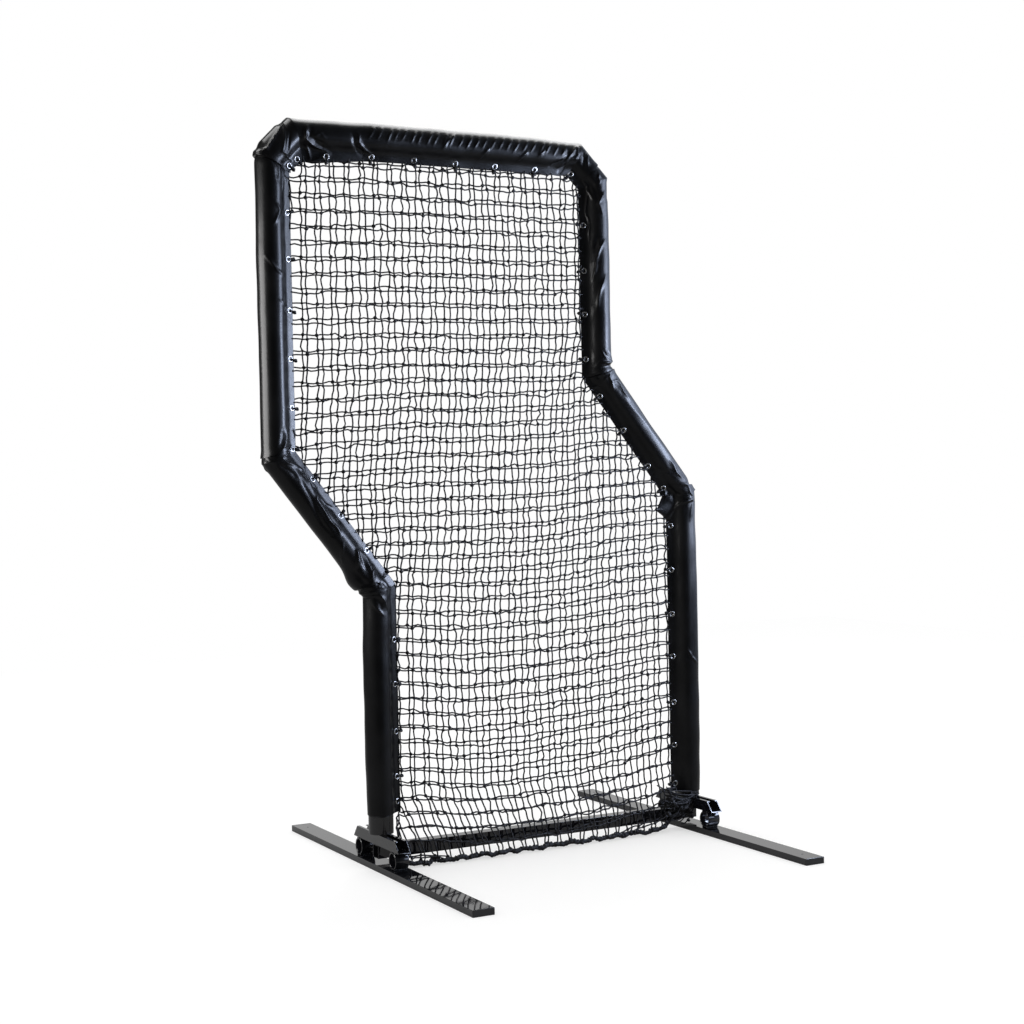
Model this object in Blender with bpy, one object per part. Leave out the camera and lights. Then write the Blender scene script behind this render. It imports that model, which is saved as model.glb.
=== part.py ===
"""Free-standing Z-shaped pitching screen: padded tube frame, two-layer net and two floor bars.

Metres, +Z up. Seen from the front (from -Y) the upper half stands to the left of the lower
half, and each side has one diagonal. The origin is on the floor, under the middle of the
bounding box.
"""
import math
from dataclasses import dataclass

import bmesh
import bpy
from mathutils import Vector

# Clearance that touching pieces keep
GAP = 0.0003

# Frame outline, on the tubes' centre lines
HEIGHT = 2.134
POST_SPACING = 1.062
HALF_SHIFT = 0.298
LEFT_UPPER_ELBOW_Z = 1.184
LEFT_LOWER_ELBOW_Z = 0.799
RIGHT_UPPER_ELBOW_Z = 1.444
RIGHT_LOWER_ELBOW_Z = 1.064
CORNER_CUT = 0.075

# Frame tube, foam sleeve and vinyl cover
TUBE_OD = 0.0381
TUBE_WALL = 0.002
FOAM_WALL = 0.0172
COVER_WALL = 0.0012
LEFT_COVER_LIFT = 0.055
RIGHT_COVER_LIFT = 0.015
ROUND_SIDES = 20

# Flap of the cover with its eyelets and ties
FLAP_THICKNESS = 0.003
FLAP_REACH = 0.024
EYELET_REACH = 0.0125
EYELET_OD = 0.018
EYELET_HOLE = 0.009
EYELET_THICKNESS = 0.0044
EYELET_PITCH = 0.135
EYELET_TOP_Z = 1.889
EYELET_TOP_SHIFT = 0.018
EYELET_EDGE_MARGIN = 0.012
EYELET_SIDES = 8
TIE_WIDTH = 0.003
TIE_THICKNESS = 0.0014
TIE_BITE = 0.0003
TIE_CLEARANCE = 0.010

# Net
STRAND = 0.0036
MESH_SIZE = EYELET_PITCH * 4 / 5
NET_LEAST_KNOT_SPACING = 0.014
NET_EDGE_REACH = 0.0285
NET_SPREAD = 0.018
NET_SPREAD_RUN = 0.18
NET_DRIFT_Z = 0.24
NET_DRIFT_KNEE_Z = 0.15
NET_RAIL_CLEAR_Y = 0.045
NET_RAIL_CLEAR_Z = 0.10
HEM_ROPE_OD = 0.014
HEM_FLOOR_GAP = 0.0006
HEM_SAG = 0.012
HEM_SKEW = 2
HEM_OVERHANG = 0.012
HEM_STEPS = 30
NET_HEM_STEPS = 2
HEM_STOP_ROUNDS = 40

# Bottom rail, square tube
RAIL_SIZE = 0.0381
RAIL_WALL = 0.002

# Feet
BAR_LENGTH = 1.287
BAR_WIDTH = 0.0635
BAR_HEIGHT = 0.01905
BAR_WALL = 0.0016
BAR_HOLE = 0.006
BAR_HOLE_INSET = 0.060
CAP_PLATE = 0.003
CAP_PLUG = 0.016
PIPE_OD = 0.0508
PIPE_WALL = 0.0048
PIPE_LENGTH = 0.042
PIPE_OFFSET = 0.120
PIPE_SIDES = 24
SADDLE_WIDTH = 0.0381
SADDLE_HEIGHT = 0.032
SADDLE_WALL = 0.0026
SADDLE_LIP = 0.0095
SADDLE_HALF_LENGTH = 0.160
SADDLE_RAKE = 0.026

# Radii from the tube outwards
TUBE_R = TUBE_OD / 2
FOAM_BORE_R = TUBE_R + GAP
FOAM_R = FOAM_BORE_R + FOAM_WALL
COVER_BORE_R = FOAM_R + GAP
COVER_R = COVER_BORE_R + COVER_WALL
COVER_FLAT = COVER_R * math.cos(math.pi / ROUND_SIDES)
FLAP_EDGE = COVER_R + FLAP_REACH
EYELET_AXIS = COVER_R + EYELET_REACH
NET_EDGE = COVER_R + NET_EDGE_REACH

# Stack of the feet, from the floor up
PIPE_AXIS_Z = BAR_HEIGHT + GAP + PIPE_OD / 2
SADDLE_Z = BAR_HEIGHT + PIPE_OD + 2 * GAP
SADDLE_TOP_Z = SADDLE_Z + SADDLE_HEIGHT
POST_FOOT_Z = SADDLE_TOP_Z + GAP
RAIL_TOP_Z = SADDLE_Z - GAP
TOP_AXIS_Z = HEIGHT - COVER_FLAT

# Post centre lines
LOWER_LEFT_X = -(POST_SPACING - HALF_SHIFT) / 2
LOWER_RIGHT_X = LOWER_LEFT_X + POST_SPACING
UPPER_LEFT_X = LOWER_LEFT_X - HALF_SHIFT
UPPER_RIGHT_X = LOWER_RIGHT_X - HALF_SHIFT
EYELET_TOP_X = (UPPER_LEFT_X + UPPER_RIGHT_X) / 2 - EYELET_TOP_SHIFT

# Two net layers, measured from the surface midway between them
LAYER_EDGE_SPREAD = STRAND / 2 + GAP
HEM_R = HEM_ROPE_OD / 2
HEM_Z = HEM_R + HEM_FLOOR_GAP

# Outline of the frame, from the left foot over the top to the right foot. The seams are
# where the top cover meets the two post covers, in the middle of each cut corner.
OUTLINE = [
    ("left_foot", LOWER_LEFT_X, POST_FOOT_Z),
    ("left_lower_elbow", LOWER_LEFT_X, LEFT_LOWER_ELBOW_Z),
    ("left_upper_elbow", UPPER_LEFT_X, LEFT_UPPER_ELBOW_Z),
    ("left_corner_low", UPPER_LEFT_X, TOP_AXIS_Z - CORNER_CUT),
    ("left_seam", UPPER_LEFT_X + CORNER_CUT / 2, TOP_AXIS_Z - CORNER_CUT / 2),
    ("left_corner_high", UPPER_LEFT_X + CORNER_CUT, TOP_AXIS_Z),
    ("right_corner_high", UPPER_RIGHT_X - CORNER_CUT, TOP_AXIS_Z),
    ("right_seam", UPPER_RIGHT_X - CORNER_CUT / 2, TOP_AXIS_Z - CORNER_CUT / 2),
    ("right_corner_low", UPPER_RIGHT_X, TOP_AXIS_Z - CORNER_CUT),
    ("right_upper_elbow", UPPER_RIGHT_X, RIGHT_UPPER_ELBOW_Z),
    ("right_lower_elbow", LOWER_RIGHT_X, RIGHT_LOWER_ELBOW_Z),
    ("right_foot", LOWER_RIGHT_X, POST_FOOT_Z),
]
OUTLINE_NAMES = [name for name, _, _ in OUTLINE]
OUTLINE_POINTS = [Vector((x, z)) for _, x, z in OUTLINE]
LAST = len(OUTLINE) - 1

TUBE_RUNS = [
    ("left_lower_post_tube", "left_foot", "left_lower_elbow"),
    ("left_diagonal_tube", "left_lower_elbow", "left_upper_elbow"),
    ("left_upper_post_tube", "left_upper_elbow", "left_corner_low"),
    ("left_corner_tube", "left_corner_low", "left_corner_high"),
    ("top_rail_tube", "left_corner_high", "right_corner_high"),
    ("right_corner_tube", "right_corner_high", "right_corner_low"),
    ("right_upper_post_tube", "right_corner_low", "right_upper_elbow"),
    ("right_diagonal_tube", "right_upper_elbow", "right_lower_elbow"),
    ("right_lower_post_tube", "right_lower_elbow", "right_foot"),
]
PAD_RUNS = [
    ("left_lower_post", "left_foot", "left_lower_elbow"),
    ("left_diagonal", "left_lower_elbow", "left_upper_elbow"),
    ("left_upper_post", "left_upper_elbow", "left_seam"),
    ("top_rail", "left_seam", "right_seam"),
    ("right_upper_post", "right_seam", "right_upper_elbow"),
    ("right_diagonal", "right_upper_elbow", "right_lower_elbow"),
    ("right_lower_post", "right_lower_elbow", "right_foot"),
]


@dataclass(frozen=True)
class Finish:
    """Colour and surface of one material."""

    name: str
    color: tuple
    roughness: float
    metallic: float


BLACK_PAINT = Finish("black_paint", (0.012, 0.013, 0.016), 0.22, 0.0)
TUBE_STEEL = Finish("tube_steel", (0.02, 0.021, 0.024), 0.35, 0.6)
FOAM = Finish("foam", (0.05, 0.05, 0.055), 0.9, 0.0)
VINYL = Finish("vinyl", (0.010, 0.011, 0.014), 0.32, 0.0)
TWINE = Finish("twine", (0.012, 0.011, 0.012), 0.8, 0.0)
CAP_PLASTIC = Finish("cap_plastic", (0.014, 0.015, 0.018), 0.3, 0.0)


@dataclass(frozen=True)
class Section:
    """Closed loops of (reach, depth) points and the polygons that close an end.

    reach is measured from the path towards the window, depth along +Y.
    """

    loops: tuple
    caps: tuple


def clear_scene():
    """Remove every object that the file opened with."""
    for item in list(bpy.data.objects):
        bpy.data.objects.remove(item, do_unlink=True)


def material(finish):
    """Return the Principled material of a finish, made once."""
    found = bpy.data.materials.get(finish.name)
    if found:
        return found
    made = bpy.data.materials.new(finish.name)
    made.use_nodes = True
    shader = made.node_tree.nodes["Principled BSDF"]
    shader.inputs["Base Color"].default_value = (*finish.color, 1.0)
    shader.inputs["Roughness"].default_value = finish.roughness
    shader.inputs["Metallic"].default_value = finish.metallic
    return made


def add_object(name, bm, finish, smooth=False):
    """Turn a bmesh into an object whose faces point out."""
    bmesh.ops.recalc_face_normals(bm, faces=bm.faces)
    mesh = bpy.data.meshes.new(name)
    bm.to_mesh(mesh)
    bm.free()
    if smooth:
        mesh.shade_smooth()
        mesh.set_sharp_from_angle(angle=math.radians(40))
    mesh.materials.append(material(finish))
    item = bpy.data.objects.new(name, mesh)
    bpy.context.scene.collection.objects.link(item)
    return item


def circle(radius, sides):
    """Points of a circle, starting half a step from the window side."""
    step = math.tau / sides
    return [(radius * math.cos((i + 0.5) * step), radius * math.sin((i + 0.5) * step)) for i in range(sides)]


def rectangle(reach_low, reach_high, half_depth):
    """Corner points of a rectangle in the section plane."""
    front = [(reach_low, -half_depth), (reach_high, -half_depth)]
    return front + [(reach, half_depth) for reach, _ in reversed(front)]


def hollow_section(outer, inner):
    """Section between two loops with the same number of points."""
    count = len(outer)
    caps = [((0, i), (0, (i + 1) % count), (1, (i + 1) % count), (1, i)) for i in range(count)]
    return Section((tuple(outer), tuple(inner)), tuple(caps))


def cover_section():
    """Round vinyl skin whose two edges meet in a flat flap towards the window."""
    outer, inner = circle(COVER_R, ROUND_SIDES), circle(COVER_BORE_R, ROUND_SIDES)
    half = FLAP_THICKNESS / 2
    flap = [(COVER_FLAT, -half), (FLAP_EDGE, -half), (FLAP_EDGE, half), (COVER_FLAT, half)]
    last = ROUND_SIDES - 1
    caps = [((0, i), (0, i + 1), (1, i + 1), (1, i)) for i in range(last)]
    caps.append([(0, last + i) for i in range(len(flap) + 1)] + [(0, 0), (1, 0), (1, last)])
    return Section((tuple(outer + flap), tuple(inner)), tuple(caps))


def direction(index):
    """Unit vector along outline segment index."""
    return (OUTLINE_POINTS[index + 1] - OUTLINE_POINTS[index]).normalized()


def inward(index):
    """Unit vector across outline segment index, towards the window."""
    along = direction(index)
    return Vector((along.y, -along.x))


def mitre(index):
    """Vector from an outline point to the line one metre further in."""
    before = inward(max(index - 1, 0))
    after = inward(min(index, LAST - 1))
    return (before + after) / (1 + before.dot(after))


def stations(first_name, last_name, first_lift=0.0, last_lift=0.0):
    """Path points with their mitre vectors, each end cut back by half a gap.

    The lifts shorten the run further where it ends at a foot.
    """
    first = OUTLINE_NAMES.index(first_name)
    last = OUTLINE_NAMES.index(last_name)
    result = []
    for index in range(first, last + 1):
        point = OUTLINE_POINTS[index].copy()
        across = mitre(index)
        back = across.length * GAP / 2
        if index == first:
            point += direction(index) * (first_lift if index == 0 else back)
        if index == last:
            point -= direction(index - 1) * (last_lift if index == LAST else back)
        result.append((point, across))
    return result


def sweep(bm, path, section):
    """Add the solid that a section makes along a mitred path."""
    rings = []
    for point, across in path:
        ring = []
        for loop in section.loops:
            places = [point + across * reach for reach, _ in loop]
            ring.append([bm.verts.new((p.x, depth, p.y)) for p, (_, depth) in zip(places, loop)])
        rings.append(ring)
    for near, far in zip(rings, rings[1:]):
        for loop_near, loop_far in zip(near, far):
            count = len(loop_near)
            for i in range(count):
                j = (i + 1) % count
                bm.faces.new((loop_near[i], loop_near[j], loop_far[j], loop_far[i]))
    for ring in (rings[0], rings[-1]):
        for cap in section.caps:
            bm.faces.new([ring[loop][i] for loop, i in cap])


def swept_object(name, path, section, finish):
    """One swept solid as an object."""
    bm = bmesh.new()
    sweep(bm, path, section)
    return add_object(name, bm, finish, smooth=True)


def add_prism(bm, loops, near, far, axis):
    """Add a straight hollow prism along world axis 0 or 1 from two loops in the plane across it."""
    rings = []
    for place in (near, far):
        ring = []
        for loop in loops:
            corners = [(place, a, b) if axis == 0 else (a, place, b) for a, b in loop]
            ring.append([bm.verts.new(corner) for corner in corners])
        rings.append(ring)
    for loop_near, loop_far in zip(*rings):
        count = len(loop_near)
        for i in range(count):
            j = (i + 1) % count
            bm.faces.new((loop_near[i], loop_near[j], loop_far[j], loop_far[i]))
    for outer, inner in rings:
        count = len(outer)
        for i in range(count):
            j = (i + 1) % count
            bm.faces.new((outer[i], outer[j], inner[j], inner[i]))


def box_loop(width, height, middle_z):
    """Corners of an upright rectangle centred on zero across and middle_z up."""
    return [(-width / 2, middle_z - height / 2), (width / 2, middle_z - height / 2),
            (width / 2, middle_z + height / 2), (-width / 2, middle_z + height / 2)]


def skin_rings(bm, rings):
    """Join rings of points into one closed solid with flat ends."""
    for near, far in zip(rings, rings[1:]):
        count = len(near)
        for i in range(count):
            j = (i + 1) % count
            bm.faces.new((near[i], near[j], far[j], far[i]))
    bm.faces.new(rings[0])
    bm.faces.new(rings[-1])


def combine(item, other, operation):
    """Add a Boolean modifier that joins or cuts an object with another."""
    modifier = item.modifiers.new(other.name, "BOOLEAN")
    modifier.operation = operation
    modifier.object = other


def add_disc(bm, centre, across, along, radius, half_depth):
    """Add a short round plug whose axis is Y, with a flat turned towards the window."""
    rings = []
    for depth in (-half_depth, half_depth):
        places = [centre + across * a + along * b for a, b in circle(radius, EYELET_SIDES)]
        rings.append([bm.verts.new((p.x, depth, p.y)) for p in places])
    near, far = rings
    for i in range(EYELET_SIDES):
        j = (i + 1) % EYELET_SIDES
        bm.faces.new((near[i], near[j], far[j], far[i]))
    bm.faces.new(near)
    bm.faces.new(far)


def border_point(index, reach):
    """Outline point moved in by reach."""
    return OUTLINE_POINTS[index] + mitre(index) * reach


def net_outline():
    """Edge of the flat net, from the left hem end over the top to the right one."""
    inner = [border_point(index, NET_EDGE) for index in range(1, LAST)]
    return [Vector((LOWER_LEFT_X + NET_EDGE, 0.0)), *inner, Vector((LOWER_RIGHT_X - NET_EDGE, 0.0))]


def grid_lines(start, low, high):
    """Places between two limits of a row of lines one mesh apart."""
    first = math.ceil((low - start) / MESH_SIZE)
    last = math.floor((high - start) / MESH_SIZE)
    return [start + MESH_SIZE * k for k in range(first, last + 1)]


def join_close_knots(bm, corners):
    """Join knots that lie too close together, keeping corners first and edge knots next."""

    def rank(vert):
        if any((vert.co - corner).length < GAP for corner in corners):
            return 2
        return int(vert.is_boundary)

    while True:
        shortest = min(bm.edges, key=lambda edge: edge.calc_length())
        if shortest.calc_length() > NET_LEAST_KNOT_SPACING:
            return
        drop, keep = sorted(shortest.verts, key=rank)
        bmesh.ops.weld_verts(bm, targetmap={drop: keep})


def flat_net():
    """Net spread flat in the frame's plane, each gap in it one face, with heights along the net."""
    bm = bmesh.new()
    outline = net_outline()
    corners = [Vector((x, 0.0, z)) for x, z in outline]
    bm.faces.new([bm.verts.new(corner) for corner in corners])
    rows = grid_lines(EYELET_TOP_Z - MESH_SIZE / 8, HEM_ROPE_OD + NET_LEAST_KNOT_SPACING, TOP_AXIS_Z)
    columns = grid_lines(EYELET_TOP_X + MESH_SIZE / 2, min(x for x, _ in outline), max(x for x, _ in outline))
    for axis, places in (("Z", rows), ("X", columns)):
        normal = Vector((axis == "X", 0.0, axis == "Z"))
        for place in places:
            geometry = [*bm.verts, *bm.edges, *bm.faces]
            bmesh.ops.bisect_plane(bm, geom=geometry, plane_co=normal * place, plane_no=normal)
    join_close_knots(bm, corners)
    hem = [edge for edge in bm.edges if all(vert.co.z < GAP for vert in edge.verts)]
    bmesh.ops.subdivide_edges(bm, edges=hem, cuts=NET_HEM_STEPS)
    return bm


def border_distance(x, v):
    """Distance on the flat net from a place to the net's edge."""
    outline = net_outline()
    point = Vector((x, v))
    nearest = math.inf
    for start, end in zip(outline, outline[1:] + outline[:1]):
        run = end - start
        share = min(max((point - start).dot(run) / run.length_squared, 0.0), 1.0)
        nearest = min(nearest, (start + run * share - point).length)
    return nearest


def hem_ends():
    """X of the two ends of the hem rope."""
    return LOWER_LEFT_X + NET_EDGE - HEM_OVERHANG, LOWER_RIGHT_X - NET_EDGE + HEM_OVERHANG


def hem_y(x):
    """Depth of the hem rope, which sags forward over the floor, most near its left end."""
    left, right = hem_ends()
    share = min(max((x - left) / (right - left), 0.0), 1.0)
    peak = 1 / (1 + HEM_SKEW)
    sag = share * (1 - share) ** HEM_SKEW / (peak * (1 - peak) ** HEM_SKEW)
    return -NET_RAIL_CLEAR_Y - HEM_SAG * sag


def net_middle(x, v):
    """Depth and height of the surface midway between the layers at height v along the net."""
    if v >= NET_DRIFT_Z:
        return Vector((0.0, v))
    w = 1 - v / NET_DRIFT_Z
    handles = [Vector((0.0, NET_DRIFT_Z)), Vector((0.0, NET_DRIFT_KNEE_Z)),
               Vector((-NET_RAIL_CLEAR_Y, NET_RAIL_CLEAR_Z)), Vector((hem_y(x), HEM_Z))]
    weights = [(1 - w) ** 3, 3 * w * (1 - w) ** 2, 3 * w ** 2 * (1 - w), w ** 3]
    return sum((handle * weight for handle, weight in zip(handles, weights)), Vector((0.0, 0.0)))


def hem_stop(x):
    """Height along the net where its lowest strand clears the hem rope."""
    slope = (hem_y(x + GAP) - hem_y(x - GAP)) / (2 * GAP)
    reach = math.sqrt((HEM_R + 2 * GAP) ** 2 - LAYER_EDGE_SPREAD ** 2) + STRAND / 2
    reach *= math.hypot(1.0, slope)
    hem = Vector((hem_y(x), HEM_Z))
    low, high = 0.0, NET_DRIFT_Z
    for _ in range(HEM_STOP_ROUNDS):
        middle = (low + high) / 2
        if (net_middle(x, middle) - hem).length < reach:
            low = middle
        else:
            high = middle
    return high


def net_point(x, v, layer):
    """Point of one layer, at x and at height v along the net; layer is -1 in front and 1 behind."""
    inside = min(border_distance(x, v) / NET_SPREAD_RUN, 1.0)
    spread = LAYER_EDGE_SPREAD + (NET_SPREAD - LAYER_EDGE_SPREAD) * inside
    v = max(v, hem_stop(x))
    place = net_middle(x, v)
    up = (net_middle(x, v + GAP) - place).normalized()
    place += Vector((up.y, -up.x)) * layer * spread
    return Vector((x, place.x, place.y))


def net_layer(name, flat, layer):
    """One layer of the net, its strands joined at every knot."""
    bm = flat.copy()
    for vert in bm.verts:
        vert.co = net_point(vert.co.x, vert.co.z, layer)
    item = add_object(name, bm, TWINE)
    strands = item.modifiers.new("strands", "WIREFRAME")
    strands.thickness = STRAND
    strands.offset = 0.0
    strands.use_even_offset = True
    strands.use_boundary = True
    strands.use_replace = True


def hem_rope():
    """Thick rope along the net's lower edge."""
    left, right = hem_ends()
    data = bpy.data.curves.new("net_hem_rope", "CURVE")
    data.dimensions = "3D"
    data.bevel_depth = HEM_R
    data.bevel_resolution = 2
    data.use_fill_caps = True
    line = data.splines.new("POLY")
    line.points.add(HEM_STEPS)
    for i, point in enumerate(line.points):
        x = left + (right - left) * i / HEM_STEPS
        point.co = (x, hem_y(x), HEM_Z, 1.0)
    data.materials.append(material(TWINE))
    item = bpy.data.objects.new("net_hem_rope", data)
    bpy.context.scene.collection.objects.link(item)


def flap_range(index):
    """Distances along an outline segment between which an eyelet fits on the flap."""
    start = OUTLINE_POINTS[index]
    along = direction(index)
    length = (OUTLINE_POINTS[index + 1] - start).length
    low = max(0.0, (border_point(index, FLAP_EDGE) - start).dot(along))
    high = min(length, (border_point(index + 1, FLAP_EDGE) - start).dot(along))
    if index == 0:
        low = LEFT_COVER_LIFT
    if index == LAST - 1:
        high = length - RIGHT_COVER_LIFT
    return low + EYELET_EDGE_MARGIN, high - EYELET_EDGE_MARGIN


def eyelet_places(index):
    """Distances along an outline segment of its eyelets, before they dodge the knots."""
    low, high = flap_range(index)
    if high < low:
        return []
    start = OUTLINE_POINTS[index]
    along = direction(index)
    if abs(along.x) < GAP:
        first, step = (EYELET_TOP_Z - start.y) / along.y, EYELET_PITCH
    elif abs(along.y) < GAP:
        first, step = EYELET_TOP_X + EYELET_PITCH / 2 - start.x, EYELET_PITCH
    else:
        count = int((high - low) / EYELET_PITCH) + 1
        first, step = (low + high - EYELET_PITCH * (count - 1)) / 2, EYELET_PITCH
    start_k = math.ceil((low - first) / step)
    end_k = math.floor((high - first) / step)
    return [first + step * k for k in range(start_k, end_k + 1)]


def edge_knots(net, index):
    """Distances along an outline segment of the knots on the net's edge beside it."""
    start = OUTLINE_POINTS[index]
    along, across = direction(index), inward(index)
    offsets = [Vector((vert.co.x, vert.co.z)) - start for vert in net.verts if vert.is_boundary]
    return [offset.dot(along) for offset in offsets if abs(offset.dot(across) - NET_EDGE) < GAP]


def tied_place(net, index, place):
    """Nearest place to an eyelet's own that lets its tie pass between knots, or None."""
    if OUTLINE_POINTS[index].y + direction(index).y * place < NET_DRIFT_Z + EYELET_OD:
        return None
    low, high = flap_range(index)
    knots = edge_knots(net, index)
    for k in range(int(EYELET_PITCH / TIE_CLEARANCE)):
        for shifted in (place + k * TIE_CLEARANCE / 4, place - k * TIE_CLEARANCE / 4):
            if low <= shifted <= high and all(abs(shifted - knot) > TIE_CLEARANCE for knot in knots):
                return shifted
    return None


def tie_section():
    """Closed band from inside an eyelet round the edge strands of both net layers.

    It sinks into the eyelet's rim by its bite, where it is fused to it.
    """
    rim = EYELET_AXIS + EYELET_HOLE / 2 * math.cos(math.pi / EYELET_SIDES)
    low = rim + TIE_BITE
    high = NET_EDGE + STRAND / 2 + GAP
    depth = LAYER_EDGE_SPREAD + STRAND / 2 + GAP
    band = TIE_THICKNESS
    return hollow_section(rectangle(low - band, high + band, depth + band), rectangle(low, high, depth))


def fasten(cover, net, first_name, last_name):
    """Press eyelets into a cover's flap and put a tie through each that meets the net."""
    rims, bores, ties = bmesh.new(), bmesh.new(), bmesh.new()
    band = tie_section()
    for index in range(OUTLINE_NAMES.index(first_name), OUTLINE_NAMES.index(last_name)):
        across, along = inward(index), direction(index)
        for place in eyelet_places(index):
            tied = tied_place(net, index, place)
            point = OUTLINE_POINTS[index] + along * (place if tied is None else tied)
            centre = point + across * EYELET_AXIS
            add_disc(rims, centre, across, along, EYELET_OD / 2, EYELET_THICKNESS / 2)
            add_disc(bores, centre, across, along, EYELET_HOLE / 2, EYELET_THICKNESS)
            if tied is not None:
                edge = along * TIE_WIDTH / 2
                sweep(ties, [(point - edge, across), (point + edge, across)], band)
    steps = [("rims", "UNION", rims), ("bores", "DIFFERENCE", bores), ("ties", "UNION", ties)]
    for kind, operation, bm in steps:
        if not bm.verts:
            bm.free()
            continue
        shape = add_object(cover.name + "_" + kind, bm, VINYL)
        shape.hide_render = True
        shape.display_type = "WIRE"
        combine(cover, shape, operation)


def frame_tubes():
    """Round tubes of the frame, mitred where they meet."""
    section = hollow_section(circle(TUBE_R, ROUND_SIDES), circle(TUBE_R - TUBE_WALL, ROUND_SIDES))
    for name, first, last in TUBE_RUNS:
        swept_object(name, stations(first, last), section, TUBE_STEEL)


def pads(net):
    """Foam sleeve and vinyl cover of each padded run, with the cover's eyelets and ties."""
    foam = hollow_section(circle(FOAM_R, ROUND_SIDES), circle(FOAM_BORE_R, ROUND_SIDES))
    skin = cover_section()
    for name, first, last in PAD_RUNS:
        foam_path = stations(first, last, 0.0, RIGHT_COVER_LIFT)
        swept_object(name + "_foam", foam_path, foam, FOAM)
        cover_path = stations(first, last, LEFT_COVER_LIFT, RIGHT_COVER_LIFT)
        cover = swept_object(name + "_cover", cover_path, skin, VINYL)
        fasten(cover, net, first, last)


def bottom_rail():
    """Square tube under both saddles, open at its ends."""
    bm = bmesh.new()
    middle = RAIL_TOP_Z - RAIL_SIZE / 2
    outer = box_loop(RAIL_SIZE, RAIL_SIZE, middle)
    inner = box_loop(RAIL_SIZE - 2 * RAIL_WALL, RAIL_SIZE - 2 * RAIL_WALL, middle)
    reach = SADDLE_WIDTH / 2
    add_prism(bm, [outer, inner], LOWER_LEFT_X - reach, LOWER_RIGHT_X + reach, 0)
    add_object("bottom_rail", bm, BLACK_PAINT)


def floor_bar(side, x):
    """Flat rectangular tube on the floor with a small hole near each end."""
    bm = bmesh.new()
    loops = []
    for inset in (0.0, 2 * BAR_WALL):
        loop = box_loop(BAR_WIDTH - inset, BAR_HEIGHT - inset, BAR_HEIGHT / 2)
        loops.append([(x + a, z) for a, z in loop])
    half = BAR_LENGTH / 2 - CAP_PLATE - GAP
    add_prism(bm, loops, -half, half, 1)
    bar = add_object(side + "_floor_bar", bm, BLACK_PAINT)
    plugs = bmesh.new()
    for sign in (-1, 1):
        made = bmesh.ops.create_cone(plugs, cap_ends=True, segments=EYELET_SIDES, radius1=BAR_HOLE / 2,
                                     radius2=BAR_HOLE / 2, depth=4 * BAR_WALL)
        place = Vector((x, sign * (BAR_LENGTH / 2 - BAR_HOLE_INSET), BAR_HEIGHT))
        bmesh.ops.translate(plugs, vec=place, verts=made["verts"])
    cutter = add_object(side + "_bar_holes", plugs, BLACK_PAINT)
    cutter.hide_render = True
    cutter.display_type = "WIRE"
    combine(bar, cutter, "DIFFERENCE")


def end_cap(side, end, x, sign):
    """Plastic plug: a plate over the bar's end and a block inside it."""
    bm = bmesh.new()
    face = sign * BAR_LENGTH / 2
    seat = face - sign * CAP_PLATE
    tip = seat - sign * CAP_PLUG
    clearance = 2 * (BAR_WALL + GAP)
    plate = box_loop(BAR_WIDTH, BAR_HEIGHT, BAR_HEIGHT / 2)
    plug = box_loop(BAR_WIDTH - clearance, BAR_HEIGHT - clearance, BAR_HEIGHT / 2)
    rings = []
    for y, loop in ((face, plate), (seat, plate), (seat, plug), (tip, plug)):
        rings.append([bm.verts.new((x + a, y, z)) for a, z in loop])
    skin_rings(bm, rings)
    add_object(side + "_bar_" + end + "_cap", bm, CAP_PLASTIC)


def cross_pipe(side, end, x, sign):
    """Short open pipe across the bar, which carries one end of the saddle."""
    bm = bmesh.new()
    loops = []
    for radius in (PIPE_OD / 2, PIPE_OD / 2 - PIPE_WALL):
        loops.append([(sign * PIPE_OFFSET + a, PIPE_AXIS_Z + b) for a, b in circle(radius, PIPE_SIDES)])
    add_prism(bm, loops, x - PIPE_LENGTH / 2, x + PIPE_LENGTH / 2, 0)
    add_object(side + "_" + end + "_pipe", bm, BLACK_PAINT, smooth=True)


def saddle(side, x):
    """Lipped channel, open side up, whose ends rake in towards the top."""
    half, height, wall = SADDLE_WIDTH / 2, SADDLE_HEIGHT, SADDLE_WALL
    lip = half - SADDLE_LIP
    right = [(half, 0), (half, height), (lip, height), (lip, height - wall),
             (half - wall, height - wall), (half - wall, wall)]
    profile = right + [(-a, z) for a, z in reversed(right)]
    bm = bmesh.new()
    rings = []
    for sign in (-1, 1):
        reach = [sign * (SADDLE_HALF_LENGTH - SADDLE_RAKE * z / height) for _, z in profile]
        rings.append([bm.verts.new((x + a, y, SADDLE_Z + z)) for (a, z), y in zip(profile, reach)])
    skin_rings(bm, rings)
    add_object(side + "_saddle", bm, BLACK_PAINT)


def feet():
    """Everything under the two lower posts."""
    for side, x in (("left", LOWER_LEFT_X), ("right", LOWER_RIGHT_X)):
        floor_bar(side, x)
        saddle(side, x)
        for end, sign in (("front", -1), ("rear", 1)):
            end_cap(side, end, x, sign)
            cross_pipe(side, end, x, sign)


def main():
    """Build the whole screen."""
    clear_scene()
    flat = flat_net()
    frame_tubes()
    pads(flat)
    bottom_rail()
    feet()
    net_layer("front_net", flat, -1)
    net_layer("rear_net", flat, 1)
    flat.free()
    hem_rope()


main()
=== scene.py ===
"""Dresses the free-standing pitching screen: vinyl pads, laced two-layer net and painted feet.

Metres, +Z up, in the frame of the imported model. Seen from the front (from -Y) the window
lies between the padded posts. A pad's surface is written in two lengths: along its run from
the left foot over the top to the right foot, and round from its outer line, where negative
is towards the front and positive towards the back.
"""
import logging
import math
import random
from dataclasses import dataclass, field, replace
from enum import Enum

import bmesh
import bpy
import numpy as np
from mathutils import Matrix, Vector

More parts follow.
